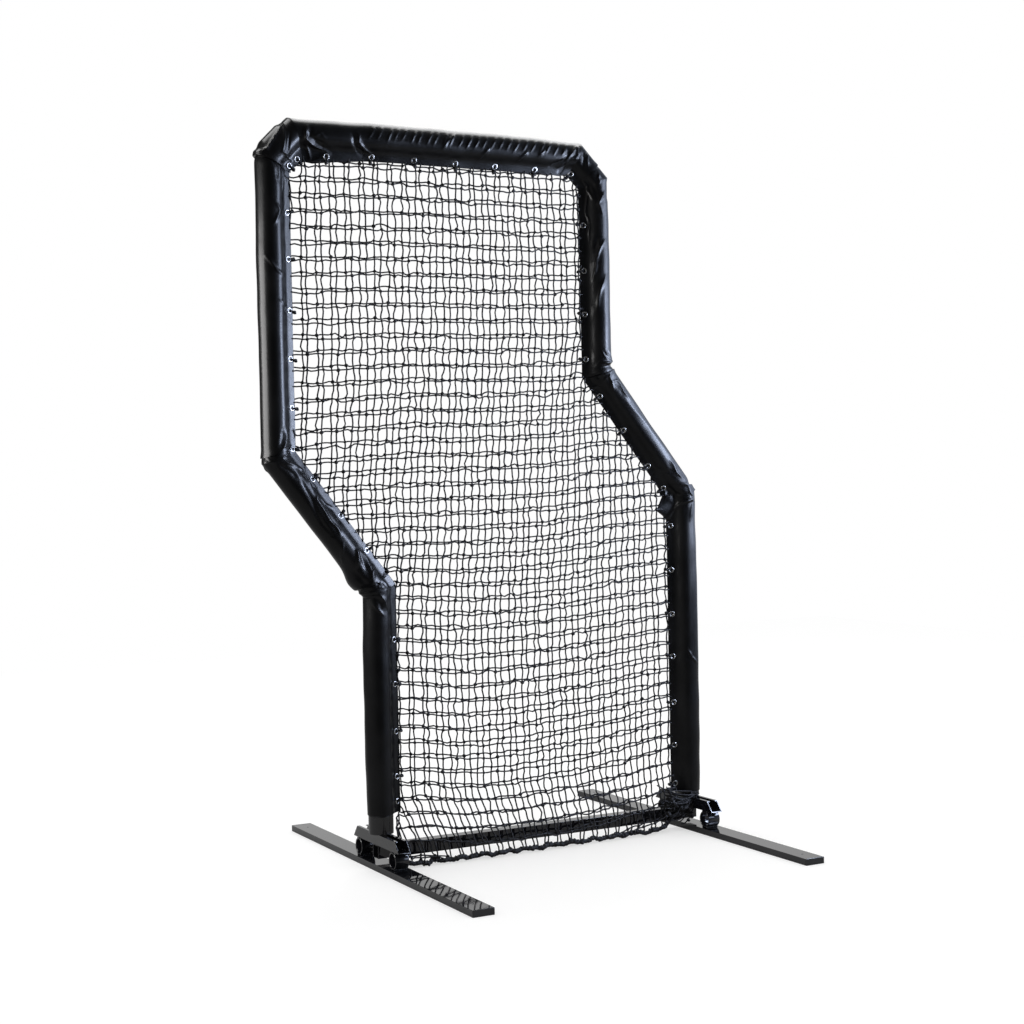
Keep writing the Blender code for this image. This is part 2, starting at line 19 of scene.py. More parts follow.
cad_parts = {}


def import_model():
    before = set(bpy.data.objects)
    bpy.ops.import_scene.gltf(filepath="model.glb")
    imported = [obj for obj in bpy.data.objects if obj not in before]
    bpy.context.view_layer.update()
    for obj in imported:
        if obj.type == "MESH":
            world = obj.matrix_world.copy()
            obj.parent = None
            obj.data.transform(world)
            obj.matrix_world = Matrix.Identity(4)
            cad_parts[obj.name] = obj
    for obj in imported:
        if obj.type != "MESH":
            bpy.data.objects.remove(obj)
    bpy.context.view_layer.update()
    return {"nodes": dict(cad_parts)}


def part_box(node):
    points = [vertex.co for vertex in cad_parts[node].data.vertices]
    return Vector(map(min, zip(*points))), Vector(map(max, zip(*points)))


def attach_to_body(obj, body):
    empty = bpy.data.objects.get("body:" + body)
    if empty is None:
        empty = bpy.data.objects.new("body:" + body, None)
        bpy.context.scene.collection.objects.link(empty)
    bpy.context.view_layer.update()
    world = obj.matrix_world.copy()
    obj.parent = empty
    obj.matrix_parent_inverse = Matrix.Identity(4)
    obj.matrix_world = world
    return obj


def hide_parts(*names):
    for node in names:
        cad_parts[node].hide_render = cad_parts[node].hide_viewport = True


LOG = logging.getLogger("pitching_screen")
BODY = "root"
PHASES = (0, 6.3)

Material = bpy.types.Material
Item = bpy.types.Object


# ------------------------------------------------------------------ node trees


class Tap:
    """One output of a node that can be used in Python sums."""

    def __init__(self, board: "Board", socket: bpy.types.NodeSocket) -> None:
        """Keep the socket and the board that it belongs to."""
        self.board = board
        self.socket = socket

    def _sum(self, operation: str, first: object, second: object) -> "Tap":
        """Add the Math node of one operation."""
        return self.board.node("ShaderNodeMath", {"operation": operation}, {0: first, 1: second})

    def __add__(self, other: object) -> "Tap":
        """Sum of both."""
        return self._sum("ADD", self, other)

    def __radd__(self, other: object) -> "Tap":
        """Sum with the number first."""
        return self._sum("ADD", other, self)

    def __sub__(self, other: object) -> "Tap":
        """Difference of both."""
        return self._sum("SUBTRACT", self, other)

    def __rsub__(self, other: object) -> "Tap":
        """Difference with the number first."""
        return self._sum("SUBTRACT", other, self)

    def __mul__(self, other: object) -> "Tap":
        """Product of both."""
        return self._sum("MULTIPLY", self, other)

    def __rmul__(self, other: object) -> "Tap":
        """Product with the number first."""
        return self._sum("MULTIPLY", other, self)

    def beside(self, name: str) -> "Tap":
        """Another output of the same node."""
        return Tap(self.board, self.socket.node.outputs[name])


class Board:
    """Node tree with one method that adds every kind of node."""

    def __init__(self, tree: bpy.types.NodeTree) -> None:
        """Keep the tree."""
        self.tree = tree

    def node(self, kind: str, settings: dict | None = None, sockets: dict | None = None,
             output: int | str = 0) -> Tap:
        """Add a node.

        Args:
            kind: Blender's type name of the node.
            settings: properties, and under "stops" the (place, colour) pairs of a ramp.
            sockets: values or taps by input name or number.
            output: name or number of the output that the result stands for.

        Returns:
            The chosen output.
        """
        made = self.tree.nodes.new(kind)
        for name, value in (settings or {}).items():
            if name == "stops":
                self._stops(made.color_ramp, value)
            else:
                setattr(made, name, value)
        for key, value in (sockets or {}).items():
            if isinstance(value, Tap):
                self.tree.links.new(value.socket, made.inputs[key])
            else:
                made.inputs[key].default_value = value
        return Tap(self, made.outputs[output]) if made.outputs else Tap(self, None)

    @staticmethod
    def _stops(ramp: bpy.types.ColorRamp, stops: list) -> None:
        """Write the stops of a ramp."""
        for index, (place, color) in enumerate(stops):
            stop = ramp.elements[index] if index < 2 else ramp.elements.new(place)
            stop.position = place
            stop.color = color

    def range(self, value: Tap, low: float, high: float, top: float = 1.0) -> Tap:
        """Value between two limits turned smoothly into one from 0 to the top."""
        sockets = {"Value": value, "From Min": low, "From Max": high, "To Min": 0.0, "To Max": top}
        return self.node("ShaderNodeMapRange", {"interpolation_type": "SMOOTHSTEP"}, sockets)

    def blend(self, share: Tap, first: object, second: object) -> Tap:
        """Colour between two colours."""
        sockets = {"Factor": share, 6: first, 7: second}
        return self.node("ShaderNodeMix", {"data_type": "RGBA"}, sockets, 2)

    def ray(self, kind: str) -> Tap:
        """1 for rays of one kind, such as Camera, and 0 for others."""
        return self.node("ShaderNodeLightPath", output=f"Is {kind} Ray")

    def bump(self, height: Tap, strength: float, distance: float, below: Tap | None = None) -> Tap:
        """Normal that follows a height, on top of another bump where one is given."""
        sockets = {"Height": height, "Strength": strength, "Distance": distance}
        if below is not None:
            sockets["Normal"] = below
        return self.node("ShaderNodeBump", None, sockets)


class Skin(Board):
    """Material tree with a Principled shader."""

    def __init__(self, name: str) -> None:
        """Start an empty material of that name."""
        self.material = bpy.data.materials.new(name)
        self.material.use_nodes = True
        super().__init__(self.material.node_tree)
        self.shader = self.tree.nodes["Principled BSDF"]
        self.place = self.node("ShaderNodeTexCoord", output="Object")

    def cloud(self, scale: float, detail: float, roughness: float) -> Tap:
        """Soft noise between 0 and 1 over the piece."""
        sockets = {"Vector": self.place, "Scale": scale, "Detail": detail, "Roughness": roughness}
        return self.node("ShaderNodeTexNoise", None, sockets)

    def cells(self, scale: float, smoothness: float = 0.0) -> Tap:
        """Distance to the nearest of many scattered points, its ridges eased by smoothness."""
        settings, sockets = {}, {"Vector": self.place, "Scale": scale}
        if smoothness:
            settings["feature"], sockets["Smoothness"] = "SMOOTH_F1", smoothness
        return self.node("ShaderNodeTexVoronoi", settings, sockets, "Distance")

    def set(self, **values: object) -> Material:
        """Set or link sockets of the shader, with underscores for the spaces in their names."""
        for key, value in values.items():
            socket = self.shader.inputs[key.replace("_", " ")]
            if isinstance(value, Tap):
                self.tree.links.new(value.socket, socket)
            else:
                socket.default_value = value
        return self.material


def shade(red: float, green: float, blue: float) -> tuple:
    """Opaque colour."""
    return (red, green, blue, 1.0)


WHITE = shade(1.0, 1.0, 1.0)


# ------------------------------------------------------------------- finishes


@dataclass(frozen=True)
class Vinyl:
    """Glossy coated fabric of the pad covers.

    Here and in the other finishes a noise is its scale, detail and roughness, limits are where
    the second colour starts and is full, and a relief is its strength and distance.
    """

    color: tuple = shade(0.0016, 0.0017, 0.0021)
    dusty: tuple = shade(0.0040, 0.0041, 0.0048)
    patches: tuple = (9.0, 4.0, 0.55)
    limits: tuple = (0.4, 0.7)
    scuffs: tuple = (70.0, 5.0, 0.7)
    scuff_limits: tuple = (0.58, 0.72)
    dents: tuple = (26.0, 3.0, 0.45)
    dent_relief: tuple = (0.22, 0.0022)
    grain: float = 1100.0
    grain_smoothness: float = 0.6
    grain_relief: tuple = (0.07, 0.0002)
    gloss: float = 0.25
    unevenness: float = 0.08
    specular: float = 0.15

    def paint(self) -> Material:
        """Build the material."""
        skin = Skin("vinyl")
        patches = skin.cloud(*self.patches)
        wear = skin.range(skin.cloud(*self.scuffs), *self.scuff_limits)
        grain = skin.cells(self.grain, self.grain_smoothness)
        soft = skin.bump(skin.cloud(*self.dents), *self.dent_relief)
        return skin.set(
            Base_Color=skin.blend(skin.range(patches, *self.limits), self.color, self.dusty),
            Roughness=self.gloss + patches * self.unevenness + wear * self.unevenness,
            Normal=skin.bump(grain, *self.grain_relief, soft), IOR=1.5,
            Specular_IOR_Level=self.specular)


@dataclass(frozen=True)
class Foam:
    """Closed-cell foam sleeve."""

    color: tuple = shade(0.0035, 0.0035, 0.0042)
    light: tuple = shade(0.0080, 0.0078, 0.0088)
    clouds: tuple = (60.0, 4.0, 0.6)
    cloud_relief: tuple = (0.14, 0.002)
    cell: float = 420.0
    cell_relief: tuple = (0.06, 0.0004)
    gloss: float = 0.09
    unevenness: float = 0.12
    specular: float = 0.42

    def paint(self) -> Material:
        """Build the material."""
        skin = Skin("foam")
        clouds = skin.cloud(*self.clouds)
        soft = skin.bump(clouds, *self.cloud_relief)
        return skin.set(
            Base_Color=skin.blend(clouds, self.color, self.light),
            Roughness=self.gloss + clouds * self.unevenness, Specular_IOR_Level=self.specular,
            Normal=skin.bump(skin.cells(self.cell), *self.cell_relief, soft))


class Follows(Enum):
    """What the gloss of a coat is uneven with."""

    PATCHES = 0
    FILM = 1
    FINE = 2


@dataclass(frozen=True)
class Coat:
    """Finish of two colours in patches, with a relief from a finer noise where one is given."""

    name: str
    color: tuple
    worn: tuple
    patches: tuple
    limits: tuple
    relief: tuple
    gloss: float
    unevenness: float
    follows: Follows = Follows.PATCHES
    fine: tuple = ()
    sockets: dict = field(default_factory=dict)

    def paint(self) -> Material:
        """Build the material."""
        skin = Skin(self.name)
        patches = skin.cloud(*self.patches)
        film = skin.range(patches, *self.limits)
        fine = skin.cloud(*self.fine) if self.fine else patches
        uneven = (patches, film, fine)[self.follows.value]
        return skin.set(Base_Color=skin.blend(film, self.color, self.worn),
                        Roughness=self.gloss + uneven * self.unevenness,
                        Normal=skin.bump(fine, *self.relief), **self.sockets)


# Tarred net twine, its lay drawn by the fine noise
TWINE = Coat("twine", shade(0.004, 0.0036, 0.0042), shade(0.012, 0.0105, 0.012),
             patches=(40.0, 3.0, 0.6), limits=(0.45, 0.75), relief=(0.8, 0.0008),
             gloss=0.55, unevenness=0.3, follows=Follows.FINE, fine=(700.0, 3.0, 0.7),
             sockets={"Specular_IOR_Level": 0.25})
TIE_CORD = replace(TWINE, name="tie_cord", fine=(900.0, 3.0, 0.7))
# Glossy black coat of the feet, with fine orange peel and a film of dust
PAINT = Coat("black_paint", shade(0.0045, 0.0048, 0.0062), shade(0.012, 0.0122, 0.0145),
             patches=(30.0, 6.0, 0.65), limits=(0.45, 0.75), relief=(0.04, 0.0002),
             gloss=0.035, unevenness=0.03, follows=Follows.FILM, fine=(520.0, 2.0, 0.4),
             sockets={"IOR": 1.52})
# Moulded plastic of the bar caps, with a fine spark texture
PLASTIC = Coat("cap_plastic", shade(0.007, 0.0073, 0.009), shade(0.016, 0.016, 0.018),
               patches=(45.0, 4.0, 0.6), limits=(0.5, 0.8), relief=(0.3, 0.0003),
               gloss=0.24, unevenness=0.12, fine=(900.0, 2.0, 0.6))
# Plated brass of the eyelets
NICKEL = Coat("nickel", shade(0.27, 0.265, 0.255), shade(0.13, 0.125, 0.12),
              patches=(160.0, 4.0, 0.65), limits=(0.52, 0.75), relief=(0.1, 0.0003),
              gloss=0.20, unevenness=0.18, sockets={"Metallic": 1.0})
# Mill scale on the frame tubes inside the foam
STEEL = Coat("tube_steel", shade(0.05, 0.05, 0.055), shade(0.09, 0.05, 0.03),
             patches=(90.0, 5.0, 0.65), limits=(0.6, 0.8), relief=(0.2, 0.0004),
             gloss=0.35, unevenness=0.3, sockets={"Metallic": 0.6})


@dataclass(frozen=True)
class Floor:
    """White studio floor that keeps the object's shadow."""

    lit: float = 0.53
    glow: float = 0.53
    mirrored: float = 0.05

    def paint(self) -> Material:
        """Build the material, whose glow shows only to the camera and in reflections."""
        board = Skin("floor")
        board.tree.nodes.remove(board.shader)
        seen = board.ray("Camera") + board.ray("Transmission") + board.ray("Glossy") * self.mirrored
        grey = shade(self.lit, self.lit, self.lit)
        plain = board.node("ShaderNodeBsdfDiffuse", None, {"Color": grey})
        lit = {"Color": WHITE, "Strength": seen * self.glow}
        glow = board.node("ShaderNodeEmission", None, lit)
        both = board.node("ShaderNodeAddShader", None, {0: plain, 1: glow})
        board.node("ShaderNodeOutputMaterial", {"is_active_output": True}, {"Surface": both})
        return board.material


# -------------------------------------------------------------------- recipes


class Recipe(Board):
    """Geometry Nodes tree of one repeated detail, with named sizes."""

    def __init__(self, name: str) -> None:
        """Start a tree with one geometry going in and one coming out."""
        super().__init__(bpy.data.node_groups.new(name, "GeometryNodeTree"))
        for way in ("INPUT", "OUTPUT"):
            self.tree.interface.new_socket("Geometry", in_out=way, socket_type="NodeSocketGeometry")
        self.inlet = self.tree.nodes.new("NodeGroupInput")
        self.values: dict[str, float] = {}

    @property
    def source(self) -> Tap:
        """Geometry of the object that the tree is used on."""
        return Tap(self, self.inlet.outputs["Geometry"])

    def size(self, name: str, value: float) -> Tap:
        """Add a named length, and the value that it gets."""
        item = self.tree.interface.new_socket(name, in_out="INPUT", socket_type="NodeSocketFloat")
        self.values[item.identifier] = float(value)
        return Tap(self, self.inlet.outputs[name])

    def stored(self, name: str, kind: str = "FLOAT") -> Tap:
        """Value that the points carry under a name."""
        return self.node("GeometryNodeInputNamedAttribute", {"data_type": kind}, {"Name": name})

    def vector(self, x: object, y: object, z: object) -> Tap:
        """Vector of three numbers."""
        return self.node("ShaderNodeCombineXYZ", None, {"X": x, "Y": y, "Z": z})

    def chance(self, low: tuple, high: tuple, seed: int) -> Tap:
        """Random vector for each point."""
        sockets = {0: low, 1: high, "Seed": seed}
        return self.node("FunctionNodeRandomValue", {"data_type": "FLOAT_VECTOR"}, sockets)

    def circle(self, radius: object, sides: int) -> Tap:
        """Closed curve of straight sides."""
        sockets = {"Resolution": sides, "Radius": radius}
        return self.node("GeometryNodeCurvePrimitiveCircle", None, sockets)

    def tube(self, curve: Tap, radius: Tap, sides: int, caps: bool = False) -> Tap:
        """Tube along a curve."""
        sockets = {"Curve": curve, "Profile Curve": self.circle(radius, sides), "Fill Caps": caps}
        return self.node("GeometryNodeCurveToMesh", None, sockets)

    def lump(self, radius: Tap, splits: int) -> Tap:
        """Round lump."""
        sockets = {"Radius": radius, "Subdivisions": splits}
        return self.node("GeometryNodeMeshIcoSphere", None, sockets)

    def roughen(self, shape: Tap, scale: float, detail: float, amount: float) -> Tap:
        """Shape pushed in and out by noise."""
        noise = self.node("ShaderNodeTexNoise", None, {"Scale": scale, "Detail": detail}) - 0.5
        sockets = {0: self.node("GeometryNodeInputNormal"), "Scale": noise * amount}
        push = self.node("ShaderNodeVectorMath", {"operation": "SCALE"}, sockets)
        return self.node("GeometryNodeSetPosition", None, {"Geometry": shape, "Offset": push})

    def move(self, shape: Tap, **sockets: object) -> Tap:
        """Shape with a Scale, Rotation and Translation."""
        return self.node("GeometryNodeTransform", None, {"Geometry": shape, **sockets})

    def scatter(self, shape: Tap, points: Tap, **sockets: object) -> Tap:
        """Shape on every point, with a Selection, Rotation and Scale."""
        sockets.update(Points=points, Instance=shape)
        return self.node("GeometryNodeInstanceOnPoints", None, sockets)

    def join(self, *parts: Tap) -> Tap:
        """All parts as one geometry."""
        whole = self.node("GeometryNodeJoinGeometry")
        for part in parts:
            self.tree.links.new(part.socket, whole.socket.node.inputs[0])
        return whole

    def knotted(self, radius: Tap, sides: int, lump: Tap, spin: Tap, scale: Tap) -> Tap:
        """Strands along the source's lines, with lumps on its points that are marked as knots.

        Args:
            radius: radius of a strand.
            sides: number of its sides.
            lump: shape of a knot.
            spin: turn of a knot.
            scale: stretch of a knot.

        Returns:
            The strands and the knots.
        """
        curves = self.node("GeometryNodeMeshToCurve", None, {"Mesh": self.source})
        more = {"data_type": "FLOAT", "operation": "GREATER_THAN"}
        chosen = self.node("FunctionNodeCompare", more, {0: self.stored("knot"), 1: 0.5})
        knots = self.scatter(lump, self.source, Selection=chosen, Rotation=spin, Scale=scale)
        return self.join(self.tube(curves, radius, sides, True), knots)

    def bake(self, item: Item, geometry: Tap, finish: Material) -> Item:
        """End the tree in real, smooth, painted geometry and turn an object into it.

        Args:
            item: object whose mesh goes into the tree.
            geometry: what comes out.
            finish: its material.

        Returns:
            The same object with the finished, plain mesh.
        """
        geometry = self.node("GeometryNodeRealizeInstances", None, {"Geometry": geometry})
        sockets = {"Geometry": geometry, "Shade Smooth": True}
        geometry = self.node("GeometryNodeSetShadeSmooth", None, sockets)
        sockets = {"Geometry": geometry, "Material": finish}
        geometry = self.node("GeometryNodeSetMaterial", None, sockets)
        self.node("NodeGroupOutput", None, {"Geometry": geometry})
        modifier = item.modifiers.new(self.tree.name, "NODES")
        modifier.node_group = self.tree
        for key, value in self.values.items():
            modifier[key] = value
        return settle(item)


def settle(item: Item) -> Item:
    """Turn an object's modifiers into its plain mesh."""
    bpy.context.view_layer.update()
    shown = item.evaluated_get(bpy.context.evaluated_depsgraph_get())
    mesh = bpy.data.meshes.new_from_object(shown)
    item.modifiers.clear()
    item.data = mesh
    return item


def make_item(name: str, points: object, faces: object = (), edges: object = (),
              finish: Material | None = None, smooth: bool = True) -> Item:
    """Make a mesh object at the origin from its points.

    Args:
        name: name of the object.
        points: places in metres.
        faces: corner numbers of each face.
        edges: end numbers of each loose edge.
        finish: its material.
        smooth: whether its faces are shaded smoothly.

    Returns:
        The object, linked to the scene.
    """
    mesh = bpy.data.meshes.new(name)
    mesh.from_pydata([tuple(point) for point in points], [tuple(edge) for edge in edges],
                     [tuple(face) for face in faces])
    if smooth:
        mesh.shade_smooth()
    if finish:
        mesh.materials.append(finish)
    item = bpy.data.objects.new(name, mesh)
    bpy.context.scene.collection.objects.link(item)
    return item


def mark(item: Item, **marks: list) -> None:
    """Store a number for each point of an object under each name."""
    for name, values in marks.items():
        store = item.data.attributes.new(name, "FLOAT", "POINT")
        store.data.foreach_set("value", np.array(values, dtype=np.float32))


def make_skin(name: str, rings: list, finish: Material, crisp: float) -> Item:
    """Join rings of points, the last one to the first, into a closed skin.

    Args:
        name: name of the object.
        rings: rings of the same number of points.
        finish: its material.
        crisp: angle in degrees from which an edge stays sharp.

    Returns:
        The object, with its faces pointing outwards.
    """
    count, total = len(rings[0]), len(rings)
    faces = []
    for k in range(total):
        near, far = k * count, (k + 1) % total * count
        for i in range(count):
            j = (i + 1) % count
            faces.append((near + i, near + j, far + j, far + i))
    item = make_item(name, np.concatenate(rings), faces, finish=finish)
    bm = bmesh.new()
    bm.from_mesh(item.data)
    bmesh.ops.recalc_face_normals(bm, faces=bm.faces)
    bm.to_mesh(item.data)
    bm.free()
    item.data.set_sharp_from_angle(angle=math.radians(crisp))
    return item


def attach(item: Item, slot: str, *nodes: str) -> Item:
    """Let a finished piece ride with the frame in the place of some CAD nodes."""
    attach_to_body(item, BODY)
    if nodes:
        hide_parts(*nodes)
    faces, stands_for = len(item.data.polygons), ", ".join(nodes) or "itself"
    LOG.info("%s: %d faces, stands for %s", item.name, faces, stands_for)
    return item


def smoothstep(value: np.ndarray) -> np.ndarray:
    """Soft step from 0 to 1."""
    share = np.clip(value, 0.0, 1.0)
    return share * share * (3.0 - 2.0 * share)


# -------------------------------------------------------------------- outline


@dataclass
class Outline:
    """Centre lines of the frame tubes in the plane of the screen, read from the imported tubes."""

    nodes: dict
    tubes: tuple = ("left_lower_post_tube", "left_diagonal_tube", "left_upper_post_tube",
                    "left_corner_tube", "top_rail_tube", "right_corner_tube",
                    "right_upper_post_tube", "right_diagonal_tube", "right_lower_post_tube")
    points: list = field(default_factory=list)

    def __post_init__(self) -> None:
        """Chain the tubes' ends and add the seams in the middle of the cut corners."""
        chain: list[Vector] = []
        for name in self.tubes:
            ends = self._ends(self.nodes[name])
            if not chain:
                chain = [min(ends, key=lambda p: p.y)]
            start = min(ends, key=lambda p: (p - chain[-1]).length)
            chain.append(ends[1] if start is ends[0] else ends[0])
        left_seam = (chain[3] + chain[4]) / 2
        right_seam = (chain[5] + chain[6]) / 2
        self.points = [*chain[:4], left_seam, chain[4], chain[5], right_seam, *chain[6:]]

    @staticmethod
    def _ends(item: Item) -> tuple[Vector, Vector]:
        """Middle points (x, z) of a tube's two ends."""
        places = np.array([vert.co for vert in item.data.vertices])
        centred = places - places.mean(axis=0)
        along = centred @ np.linalg.svd(centred, full_matrices=False)[2][0]
        halves = [places[side].mean(axis=0) for side in (along < 0, along > 0)]
        return tuple(Vector((half[0], half[2])) for half in halves)

    def reach(self, index: int) -> float:
        """Length along the whole outline to a point."""
        return sum((b - a).length for a, b in zip(self.points[:index], self.points[1:index + 1]))

    def direction(self, index: int) -> Vector:
        """Unit vector along a segment."""
        return (self.points[index + 1] - self.points[index]).normalized()

    def inward(self, index: int) -> Vector:
        """Unit vector across a segment, towards the window."""
        along = self.direction(index)
        return Vector((along.y, -along.x))

    def mitre(self, index: int) -> Vector:
        """Vector from a point to the line one metre further in."""
        before = self.inward(max(index - 1, 0))
        after = self.inward(min(index, len(self.points) - 2))
        return (before + after) / (1 + before.dot(after))

    def place(self, index: int, distance: float, reach: float, depth: float) -> Vector:
        """Point in space beside a segment.

        Args:
            index: number of the segment.
            distance: length along it from its start.
            reach: length across it towards the window.
            depth: length towards the back.
        """
        flat = self.points[index] + self.direction(index) * distance + self.inward(index) * reach
        return Vector((flat.x, depth, flat.y))


# ----------------------------------------------------------------------- pads


@dataclass(frozen=True)
class PadSizes:
    """Lengths that all pads share."""

    radius: float = 0.0378
    flap_edge: float = 0.0620
    flap_half: float = 0.0014
    flap_slope: float = 0.42
    flap_root_tight: float = 0.0455
    flap_root_slack: float = 0.0575
    turn_tight: float = 0.86
    turn_slack: float = 0.62
    bore: float = 0.0330
    hem: float = 0.0022
    hem_radius: float = 0.038
    bore_step: int = 12
    row_step: float = 0.0020
    flap_columns: int = 9
    fillet_columns: int = 16
    round_columns: int = 42
    eyelet_reach: float = 0.0508
    shortest: float = 0.0005
    lean_run: float = 0.06
    pinch_run: float = 0.012
    pinch_reach: float = 0.045
    lobe_root: float = 0.038
    lobe_run: float = 0.024
    tight_run: float = 0.03
    deepest: float = 0.0044
    flap_deepest: float = 0.0010
    flap_from: float = 0.080
    flap_run: float = 0.030
    highest: float = 0.0150
    fillet_pull: float = 0.45
    lobe_round: float = 1.2
    waves: int = 9
    wave_pace: tuple = (14, 60)
    wave_turn: tuple = (-28, 28)
    wave_height: tuple = (0.0001, 0.00028)
    fold_end: float = 0.35
    fold_tip: float = 0.25
    crisp: float = 70.0


@dataclass(frozen=True)
class Crease:
    """Raised or sunken line on a cover, lower at its ends.

    points are (along, round) lengths, height the rise of its middle, width the distance at
    which it has faded, and sharpness 2 for a soft fold or 1 for a crisp one.
    """

    points: tuple
    height: float
    width: float
    sharpness: float

    @classmethod
    def drawn(cls, height: int, width: int, sharpness: float, *route: int) -> "Crease":
        """Crease from a row of the table of folds."""
        places = [length / 1000 for length in route]
        return cls(tuple(zip(places[::2], places[1::2])), height / 10000, width / 10000, sharpness)


class Profile:
    """Drop-shaped section of a cover, from the front edge of its flap round to the rear one."""

    def __init__(self, sizes: PadSizes) -> None:
        """Lay out the tight and the slack section with the same columns."""
        self.sizes = sizes
        self.tight = self._half(sizes.flap_root_tight, sizes.turn_tight)
        self.slack = self._half(sizes.flap_root_slack, sizes.turn_slack)
        middle = (self.tight + self.slack) / 2
        steps = np.linalg.norm(np.diff(middle, axis=0), axis=1)
        lengths = np.concatenate([[0.0], np.cumsum(steps)])
        self.round = np.concatenate([lengths - lengths[-1], (lengths[-1] - lengths)[::-1][1:]])

    def _half(self, root: float, turn: float) -> np.ndarray:
        """Points (reach, depth) of the front half, from the flap's edge to the outer line."""
        s = self.sizes
        edge = np.array([s.flap_edge, -s.flap_half])
        foot = np.array([root, -s.flap_half - (s.flap_edge - root) * s.flap_slope])
        lean = np.array([1.0, s.flap_slope]) / math.hypot(1.0, s.flap_slope)
        touch = np.array([math.cos(turn), -math.sin(turn)]) * s.radius
        slope = np.array([math.sin(turn), math.cos(turn)])
        pull = s.fillet_pull * np.linalg.norm(foot - touch)
        flap = edge + (foot - edge) * np.linspace(0, 1, s.flap_columns, endpoint=False)[:, None]
        t = np.linspace(0, 1, s.fillet_columns, endpoint=False)[:, None]
        first, second = foot - lean * pull, touch + slope * pull
        fillet = ((1 - t) ** 3 * foot + 3 * t * (1 - t) ** 2 * first
                  + 3 * t ** 2 * (1 - t) * second + t ** 3 * touch)
        angles = np.linspace(turn, math.pi, s.round_columns)
        outer = np.stack([np.cos(angles), -np.sin(angles)], axis=1) * s.radius
        return np.concatenate([flap, fillet, outer])

    def ring(self, slackness: float) -> np.ndarray:
        """Points (reach, depth) of the whole section between tight (0) and slack (1)."""
        half = self.tight + (self.slack - self.tight) * slackness
        back = half[::-1][1:] * np.array([1.0, -1.0])
        return np.concatenate([half, back])

    def inner(self) -> np.ndarray:
        """Points of the round bore, one for each column."""
        count = len(self.round)
        angles = (np.arange(count) + 0.5) / count * math.tau
        return np.stack([np.cos(angles), -np.sin(angles)], axis=1) * self.sizes.bore


